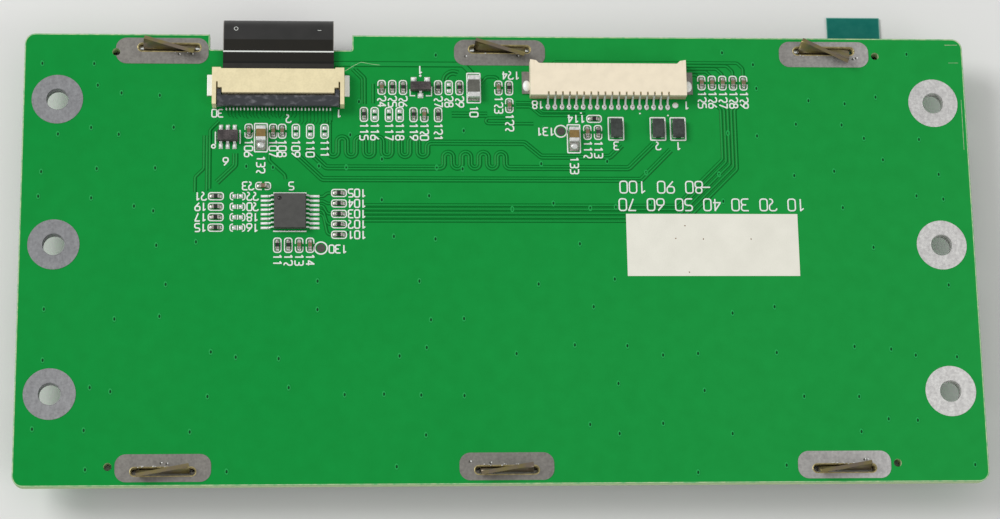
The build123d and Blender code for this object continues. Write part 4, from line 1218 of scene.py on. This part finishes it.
class DISPLAY_OT_tracks(bpy.types.Operator):
    """Tracks under the lacquer with the dark gaps beside them"""

    bl_idname = "display.tracks"
    bl_label = "Draw the tracks"

    def execute(self, context):
        board = looks("display_board")
        gaps = Lines()
        tracks = Lines()
        drawn = [(points, lane) for lanes, points in track_paths() for lane in lanes]
        for index, (points, lane) in enumerate(drawn):
            step = CROSSING_STEP * (index % 12)
            gaps.draw(points, TOP + 0.002 + step, TRACK_BEND, lane)
            tracks.draw(points, TOP + 0.012 + step, TRACK_BEND, lane)
        gap_width = board.track_width + 2 * board.gap_width
        gaps.bands("track_gaps", gap_width, 0.006 * MM, gap_lacquer(), "solder_mask", 6)
        tracks.bands("tracks", board.track_width, board.track_height / 2, track_lacquer(), "solder_mask", 6)
        fan = Lines()
        for index, points in enumerate(socket_tracks()):
            fan.draw(points, TOP + 0.022 + CROSSING_STEP * (index % 3), TRACK_BEND / 2)
        fan.bands("socket_fan", 0.1 * MM, 0.004 * MM, gap_lacquer(), "solder_mask")
        return {"FINISHED"}


VIA_GRID = (25, 12)
VIA_START = (-62.6, -29.6)
VIA_STEP = (5.25, 5.3)
VIA_STRAY = (1.6, 1.2)
VIA_SIZE = (0.9, 1.5, 1.0)
VIA_MARGIN = 0.9
BUSY_NODES = ("ring_lands", "slot_lands", "socket_housing", "header_housing", "touch_controller",
              "touch_controller_leads", "white_print_block", "copper_pads", "resistors",
              "small_capacitors", "large_capacitors", "chokes", "inductor", "transistor", "converter")


class DISPLAY_OT_vias(bpy.types.Operator):
    """Small covered holes spread over the board"""

    bl_idname = "display.vias"
    bl_label = "Spread the vias"

    def execute(self, context):
        dice = random.Random(7)
        busy = [pair for node in BUSY_NODES for pair in pieces_of(node)]
        places = []
        for column in range(VIA_GRID[0]):
            for row in range(VIA_GRID[1]):
                x = VIA_START[0] + column * VIA_STEP[0] + dice.uniform(-VIA_STRAY[0], VIA_STRAY[0])
                y = VIA_START[1] + row * VIA_STEP[1] + dice.uniform(-VIA_STRAY[1], VIA_STRAY[1])
                kept = dice.random() < (0.42 if y < 6.0 else 0.8)
                if kept and not any(self.near(x, y, *pair) for pair in busy):
                    places.append((x, y))
        sites = alike(places, TOP, VIA_SIZE)
        heap = [(0.0, 0.0), (0.15, 0.002), (0.2, 0.03), (0.27, 0.024), (0.34, 0.0), (0.0, -0.01)]
        scatter("via_rings", sites, lathe("via_ring", heap, 12), via_ring())
        hollow = [(0.0, 0.0), (0.17, 0.004), (0.12, 0.012), (0.0, 0.014)]
        scatter("via_dips", sites, lathe("via_dip", hollow, 10), via_shadow())
        return {"FINISHED"}

    @staticmethod
    def near(x, y, low, high):
        """True inside a box or close beside it."""
        across = low.x - VIA_MARGIN < x < high.x + VIA_MARGIN
        return across and low.y - VIA_MARGIN < y < high.y + VIA_MARGIN


PRINT_HEIGHT = 0.01 * MM
NUMBER_HEIGHT = 1.12
# Printed box of each larger part: half its width, then its reach below and above the part's middle.
PART_BOXES = {
    "large_capacitors": (0.88, 2.45, 1.65),
    "inductor": (0.92, 2.2, 2.15),
    "chokes": (1.05, 1.6, 1.7),
}
PRINTED_STROKES = (
    [(-31.8, 8.87), (-27.2, 8.87)],
    [(-31.8, 3.4), (-27.2, 3.4)],
    [(-39.85, 17.75), (-39.85, 15.9)],
    [(-36.45, 18.0), (-36.45, 16.0)],
    [(-12.7, 24.1), (-12.7, 23.15), (-12.0, 23.15)],
    [(-9.7, 24.5), (-9.7, 23.15), (-10.5, 23.15)],
)
PIN_RING = (-40.11, 15.61, 0.26)
DASHES = ((9.6, 20.32), (11.36, 20.7), (19.73, 20.67), (23.7, 20.39))
UPRIGHT_NUMBERS = (
    ("30", -39.6, 20.45), ("1", -22.7, 20.5), ("2", -29.7, 19.7), ("6", -38.4, 13.4),
    ("5", -29.3, 9.9), ("130", -22.85, 0.86), ("131", 6.3, 17.95), ("18", 5.3, 21.9),
    ("1", 26.4, 21.9), ("3", 16.25, 15.9), ("2", 22.2, 15.9), ("1", 25.05, 15.9),
    ("1", -11.25, 27.0),
)
TURNED_NUMBERS = (("132", -33.55, 13.0), ("133", 10.25, 13.0), ("10", -3.75, 20.85))
SPECKS = ((25.54, 4.26), (24.19, 2.43), (28.07, 2.34), (34.8, 2.34), (25.93, -2.43))


class DISPLAY_OT_print(bpy.types.Operator):
    """Printed outlines, plain numbers and the white block"""

    bl_idname = "display.print"
    bl_label = "Print the board"

    level = TOP + 0.03

    def execute(self, context):
        printed = looks("display_print")
        dress_all(white_print_block=(white_print, 0))
        outlines = Lines()
        for site in small_sites():
            draw_outline(outlines, site, self.level)
        outlines.bands("printed_outlines", printed.outline, PRINT_HEIGHT, white_ink(), "white_print", 4)
        lines = Lines()
        self.number_sites(lines, printed.figure_height / MM)
        self.part_boxes(lines)
        self.large_numbers(lines, printed.large_figure_height / MM)
        lines.bands("printed_lines", printed.line, PRINT_HEIGHT, white_ink(), "white_print", 4)
        self.dots()
        self.specks()
        return {"FINISHED"}

    def number_sites(self, lines, height):
        """A plain running number beside each small place, two figures long where room is short."""
        sites = small_sites()
        counts = {2: 10, 3: 100}
        for site in sites:
            short = (site.x < -24.0 and site.y < 12.0) or (site.y > 23.0 and site.x < -5.0)
            figures = 2 if short else 3
            counts[figures] += 1
            text = str(counts[figures])
            reach = figures_length(text, height) / 2 + 0.28
            crowded = any(abs(other.x - site.x) < 0.5 and 1.0 < site.y - other.y < 3.0 for other in sites)
            x, y, turn = site.x, site.y, math.pi
            if site.lying:
                side = -1 if site.x < -38 or site.kind == "capacitor" or site.x > 0 else 1
                x += side * (OUTLINE_HALF[0] + reach)
            elif crowded:
                x += 0.3
                y += OUTLINE_HALF[0] + 0.85
            else:
                y -= OUTLINE_HALF[0] + reach
                turn = -QUARTER
            write_figures(lines, text, x, y, height, turn, self.level)

    def part_boxes(self, lines):
        """Outlines and numbers of the larger parts."""
        z = self.level
        for node, (half, below, above) in PART_BOXES.items():
            for pair in pieces_of(node):
                x, y = middle(pair).xy
                lines.draw([(x - half, y - below), (x + half, y - below), (x + half, y + above),
                            (x - half, y + above)], z, 0.1, closed=True)
        for points in PRINTED_STROKES:
            lines.draw(points, z)
        lines.draw(arc(*PIN_RING, 0, 330, 11), z, closed=True)
        for pair in pieces_of("test_pads"):
            x, y = middle(pair).xy
            lines.draw(arc(x, y, 0.86, 0, 348.75, 31), z, closed=True)
        for x, y in DASHES:
            lines.draw([(x - 0.12, y), (x + 0.12, y)], z)
        for numbers, turn in ((UPRIGHT_NUMBERS, math.pi), (TURNED_NUMBERS, -QUARTER)):
            for text, x, y in numbers:
                write_figures(lines, text, x, y, NUMBER_HEIGHT, turn, z)

    def large_numbers(self, lines, height):
        """Plain counting numbers above the white block."""
        write_figures(lines, "10 20 30 40 50 60 70", 29.5, 7.3, height, math.pi, self.level)
        write_figures(lines, "80 90 100", 22.4, 9.85, height, math.pi, self.level)
        lines.draw([(28.0, 9.85), (29.3, 9.85)], self.level)

    def dots(self):
        """Printed pin-one dots."""
        z = self.level - 0.005
        sites = alike([(24.8, 21.9)], z, (1.2, 1.2, 1.0)) + alike([(-11.25, 26.1)], z, (0.5, 0.5, 1.0))
        scatter("printed_dots", sites, disc("print_dot", 0.36, 0.012, 20), white_ink())

    def specks(self):
        """Brown specks in the white block."""
        top = box_mm("white_print_block")[1].z - 0.01
        sites = [(x, y, top, 0.6 * index, (0.26, 0.18, 0.03)) for index, (x, y) in enumerate(SPECKS)]
        scatter("brown_specks", sites, dome("speck", 8), brown_speck())


class DISPLAY_OT_bezel(bpy.types.Operator):
    """Stamped steel bezel and its twisted tabs"""

    bl_idname = "display.bezel"
    bl_label = "Dress the bezel"

    def execute(self, context):
        dress_all(bezel_frame=(stamped_steel, 0.06))
        return {"FINISHED"}


class DISPLAY_OT_flex(bpy.types.Operator):
    """Black display flex, its stiffener and its white line"""

    bl_idname = "display.flex"
    bl_label = "Dress the flex"

    def execute(self, context):
        dress_all(display_flex=(black_flex, 0), flex_stiffener=(stiffener, 0), touch_tail=(stiffener, 0),
                  led_strip=(stiffener, 0))
        self.marks()
        return {"FINISHED"}

    def marks(self):
        """White line across the flex and two small marks beyond it."""
        low, high = box_mm("display_flex")
        lines = Lines()
        z = surface("display_flex", middle((low, high)).x, FLEX_LINE_Y) + 0.002
        lines.draw([(low.x + 0.02, FLEX_LINE_Y), (high.x - 0.02, FLEX_LINE_Y)], z)
        mark_height = 0.006 * MM
        lines.bands("flex_line", 0.2 * MM, mark_height, white_ink(), "white_print")
        lines = Lines()
        ring = arc(-37.1, 32.66, 0.27, 0, 330, 11)
        lines.draw(ring, [surface("display_flex", *point) + 0.003 for point in ring], closed=True)
        x, y = -25.42, 32.45
        lines.draw([(x - 0.25, y), (x + 0.25, y)], surface("display_flex", x, y) + 0.002)
        lines.bands("flex_print", 0.07 * MM, mark_height, white_ink(), "white_print")


class DISPLAY_OT_flex_socket(bpy.types.Operator):
    """Flip-lock flex socket with its contacts and anchor tabs"""

    bl_idname = "display.flex_socket"
    bl_label = "Dress the flex socket"

    def execute(self, context):
        dress_all(socket_housing=(beige_nylon, 0.05), socket_lock=(black_nylon, 0.05),
                  socket_contacts=(socket_contact, 0), socket_tabs=(anchor_tin, 0.12))
        feet = [(middle(pair).x, pair[0].y - 0.01) for pair in pieces_of("socket_contacts")]
        scatter("contact_solder", alike(feet, TOP, (0.26, 0.27, 0.17)), dome("contact_dot", 8), anchor_tin())
        return {"FINISHED"}


class DISPLAY_OT_wire_header(bpy.types.Operator):
    """Side-entry wire header with its pins and anchor tabs"""

    bl_idname = "display.wire_header"
    bl_label = "Dress the wire header"

    def execute(self, context):
        dress_all(header_housing=(ivory_nylon, 0.05), header_pins=(bright_contact, 0),
                  header_tabs=(tinned_oval, 0))
        self.beads()
        return {"FINISHED"}

    def beads(self):
        """Ring of solder round each pin's foot, and a mound on each anchor."""
        rim = [(0.0, -0.01), (0.36, 0.0), (0.34, 0.09), (0.25, 0.17), (0.14, 0.12), (0.0, 0.1)]
        feet = [(middle(pair).x, pair[0].y + 0.26) for pair in pieces_of("header_pins")]
        scatter("pin_beads", alike(feet, TOP, (0.96, 1.3, 1.0)), lathe("bead", rim, 16), solder())
        core = lathe("core", [(0.0, 0.0), (0.09, 0.008), (0.06, 0.02), (0.0, 0.025)], 10)
        level = surface("header_pins", *feet[0]) - 0.005
        scatter("bead_cores", alike(feet, level, (0.9, 1.3, 1.0)), core, flux_stain())
        anchors = [middle(pair) for pair in pieces_of("header_tabs")]
        centre = middle(box_mm("header_housing")).x
        mounds = [(place.x + math.copysign(0.12, centre - place.x), place.y - 0.5) for place in anchors]
        scatter("anchor_mounds", alike(mounds, TOP + 0.14, (1.2, 1.75, 0.42)), dome("anchor_mound", 14),
                anchor_tin())


LARGEST_LEAD_PAD = 1.4


class DISPLAY_OT_packages(bpy.types.Operator):
    """Leaded chip packages"""

    bl_idname = "display.packages"
    bl_label = "Dress the leaded packages"

    def execute(self, context):
        leads = (bright_contact, 0.05)
        dress_all(touch_controller=(mould_compound, 0.04), touch_controller_leads=leads,
                  converter=(granular_compound, 0.04), converter_leads=leads,
                  transistor=(granular_compound, 0.04), transistor_leads=leads)
        self.toe_solder()
        self.pin_mark()
        return {"FINISHED"}

    def toe_solder(self):
        """Solder on the pad under each lead."""
        sites = []
        for pair in pieces_of("copper_pads"):
            size = pair[1] - pair[0]
            if not is_small_pad(pair) and max(size) < LARGEST_LEAD_PAD:
                rise = 0.42 if size.y > 0.6 else 0.12
                sites += alike([middle(pair).xy], TOP + 0.03, (size.x * 0.96, size.y * 0.96, rise))
        scatter("toe_solder", sites, dome("toe_drop", 8), anchor_tin())

    def pin_mark(self):
        """Round shallow mark beside the first lead of the touch controller."""
        low, high = box_mm("touch_controller")
        sites = alike([(low.x + 0.75, high.y - 0.75)], high.z - 0.004)
        mark = disc("pin_mark", 0.3, 0.008, 24)
        scatter("pin_marks", sites, mark, resistor_face())


# The joints below this line are the mounds under the large capacitors.
LOWER_JOINTS_Y = 16.0


class DISPLAY_OT_chips(bpy.types.Operator):
    """Chip parts, their end caps and the empty pads"""

    bl_idname = "display.chips"
    bl_label = "Dress the chip parts"

    def execute(self, context):
        dress_all(resistors=(resistor_face, 0), small_capacitors=(ceramic_brown, 0),
                  surge_diode=(ferrite, 0), large_capacitors=(ceramic_ochre, 0),
                  inductor=(inductor_face, 0), chokes=(ferrite, 0.04), resistor_ends=(dull_solder, 0.04),
                  capacitor_ends=(dull_solder, 0.04), large_ends=(solder, 0.04),
                  choke_terminals=(solder, 0), solder_joints=(dull_solder, 0), copper_pads=(solder, 0))
        self.fillets()
        self.mound_tops()
        self.pad_drops()
        return {"FINISHED"}

    def fillets(self):
        """Solder fillet at both ends of every small chip."""
        dice = random.Random(3)
        sites = []
        lumps = []
        chips = [site for site in small_sites() if site.kind != "empty"]
        for site in chips:
            for side in (-1, 1):
                turn = (0.0 if side > 0 else math.pi) + (0.0 if site.lying else QUARTER)
                x, y = site.at(side * 0.49, 0.0)
                sites.append((x, y, TOP, turn, (1.0, dice.uniform(0.9, 1.1), dice.uniform(0.85, 1.2))))
                x, y = site.at(side * 0.62, dice.uniform(-0.1, 0.1))
                lumps.append((x, y, TOP, turn, (dice.uniform(0.2, 0.34), dice.uniform(0.3, 0.5), 0.17)))
        scatter("chip_fillets", sites, fillet_mesh("fillet", 0.4, 0.64, 0.26), dull_solder())
        scatter("fillet_lumps", lumps, dome("lump", 8), solder())

    def mound_tops(self):
        """Round bright top on the mound below each large capacitor."""
        mounds = [middle(pair).xy for pair in pieces_of("solder_joints") if pair[0].y < LOWER_JOINTS_Y]
        sites = alike(mounds, TOP + 0.5, (1.05, 0.95, 0.24))
        scatter("mound_tops", sites, dome("mound_top", 16), solder())

    def pad_drops(self):
        """Solder crowned on the pads of the empty places, and a dark patch between them: the opening in the
        lacquer, darkened with painted shade.
        """
        dice = random.Random(4)
        sites = []
        for pair in pieces_of("copper_pads"):
            if is_small_pad(pair):
                sites += alike([middle(pair).xy], TOP + 0.03, (0.56, 0.56, dice.uniform(0.1, 0.2)))
        scatter("pad_drops", sites, dome("pad_drop", 12), solder())
        # Painted shade: a dark flat patch in the opening between the pads of each empty place.
        gaps = []
        for site in small_sites():
            if site.kind == "empty":
                size = (0.34, 0.5, 0.01) if site.lying else (0.5, 0.34, 0.01)
                gaps += alike([(site.x, site.y)], TOP + 0.002, size)
        scatter("pad_gaps", gaps, dome("pad_gap", 12), via_shadow())


class DISPLAY_OT_screen(bpy.types.Operator):
    """Films, glass and light guide on the screen's side"""

    bl_idname = "display.screen"
    bl_label = "Dress the screen layers"

    def execute(self, context):
        made = {}
        for name, (shade, roughness, alpha) in LAYERS.items():
            made[name] = layer(Finish(name), tint(*shade), roughness, alpha)
        for node, slot in NODE_SLOTS.items():
            if slot in made:
                dress(node, made[slot])
        dress_all(pull_tab=(teal_film, 0))
        return {"FINISHED"}


FLOOR_HALF = 3.0
FLOOR_Z = -0.0001
CAMERA_PLACE = (-0.0250473, -0.0879175, 0.3467155)
CAMERA_TURN = (14.4492, -3.8904, -0.9832)


class DISPLAY_OT_stage(bpy.types.Operator):
    """Pale floor, soft light and the camera"""

    bl_idname = "display.stage"
    bl_label = "Set the stage"

    def execute(self, context):
        stage = looks("display_stage")
        context.scene.view_settings.view_transform = "Standard"
        self.floor(stage)
        self.world(stage)
        self.lamp("key", (-0.7, 0.35, 0.65), 0.45, stage.key_power)
        self.lamp("fill", (0.7, -0.45, 0.6), 0.6, stage.fill_power)
        self.camera(stage)
        return {"FINISHED"}

    def floor(self, stage):
        """Large pale floor just under the film."""
        mesh = bpy.data.meshes.new("floor")
        sides = ((-1, -1), (1, -1), (1, 1), (-1, 1))
        corners = [(FLOOR_HALF * across, FLOOR_HALF * along, FLOOR_Z) for across, along in sides]
        mesh.from_pydata(corners, [], [(0, 1, 2, 3)])
        floor = add_object("floor", mesh)
        paint = Finish("floor_paint")
        base = paint.mix(paint.noise(60.0, 2.0), tint(228, 228, 226), stage.floor)
        mesh.materials.append(paint.shade(Base_Color=base, Roughness=0.9))

    def world(self, stage):
        """Even pale light from all sides."""
        world = bpy.data.worlds.new("studio")
        world.use_nodes = True
        world.node_tree.nodes.clear()
        tree = Tree(world.node_tree)
        light = tree.node("ShaderNodeBackground", sockets={"Color": (1, 1, 1, 1), "Strength": stage.sky})
        tree.node("ShaderNodeOutputWorld", sockets={"Surface": light})
        bpy.context.scene.world = world

    def lamp(self, name, place, size, power):
        """Square soft lamp aimed at the object's middle."""
        data = bpy.data.lights.new(name, "AREA")
        data.shape = "SQUARE"
        data.size = size
        data.energy = power
        lamp = add_object(name, data)
        lamp.location = place
        lamp.rotation_euler = (-Vector(place)).to_track_quat("-Z", "Y").to_euler()

    def camera(self, stage):
        """Camera at the photograph's viewing angle."""
        data = bpy.data.cameras.new("camera")
        data.lens = stage.lens
        data.sensor_width = 36.0
        data.clip_start = 0.01
        camera = add_object("camera", data)
        camera.location = CAMERA_PLACE
        camera.rotation_euler = [math.radians(angle) for angle in CAMERA_TURN]
        bpy.context.scene.camera = camera


OPERATORS = (
    DISPLAY_OT_stage, DISPLAY_OT_screen, DISPLAY_OT_bezel, DISPLAY_OT_board, DISPLAY_OT_tracks,
    DISPLAY_OT_vias, DISPLAY_OT_print, DISPLAY_OT_flex, DISPLAY_OT_flex_socket,
    DISPLAY_OT_wire_header, DISPLAY_OT_packages, DISPLAY_OT_chips,
)


class DISPLAY_PT_looks(bpy.types.Panel):
    """Lists the steps that dress the display"""

    bl_label = "Display looks"
    bl_idname = "DISPLAY_PT_looks"
    bl_space_type = "VIEW_3D"
    bl_region_type = "UI"
    bl_category = "Display"

    def draw(self, context):
        for operator in OPERATORS:
            self.layout.operator(operator.bl_idname)


def register():
    """Registers the groups, the steps and the panel."""
    for name, group in GROUPS.items():
        bpy.utils.register_class(group)
        setattr(bpy.types.Scene, name, bpy.props.PointerProperty(type=group))
    for operator in OPERATORS:
        bpy.utils.register_class(operator)
    bpy.utils.register_class(DISPLAY_PT_looks)


def unregister():
    """Takes back what register adds."""
    bpy.utils.unregister_class(DISPLAY_PT_looks)
    for operator in reversed(OPERATORS):
        bpy.utils.unregister_class(operator)
    for name, group in GROUPS.items():
        delattr(bpy.types.Scene, name)
        bpy.utils.unregister_class(group)


def main():
    """Dresses the whole display."""
    register()
    for operator in OPERATORS:
        step = operator.bl_idname.split(".")[1]
        getattr(bpy.ops.display, step)()


if __name__ == "__main__":
    main()
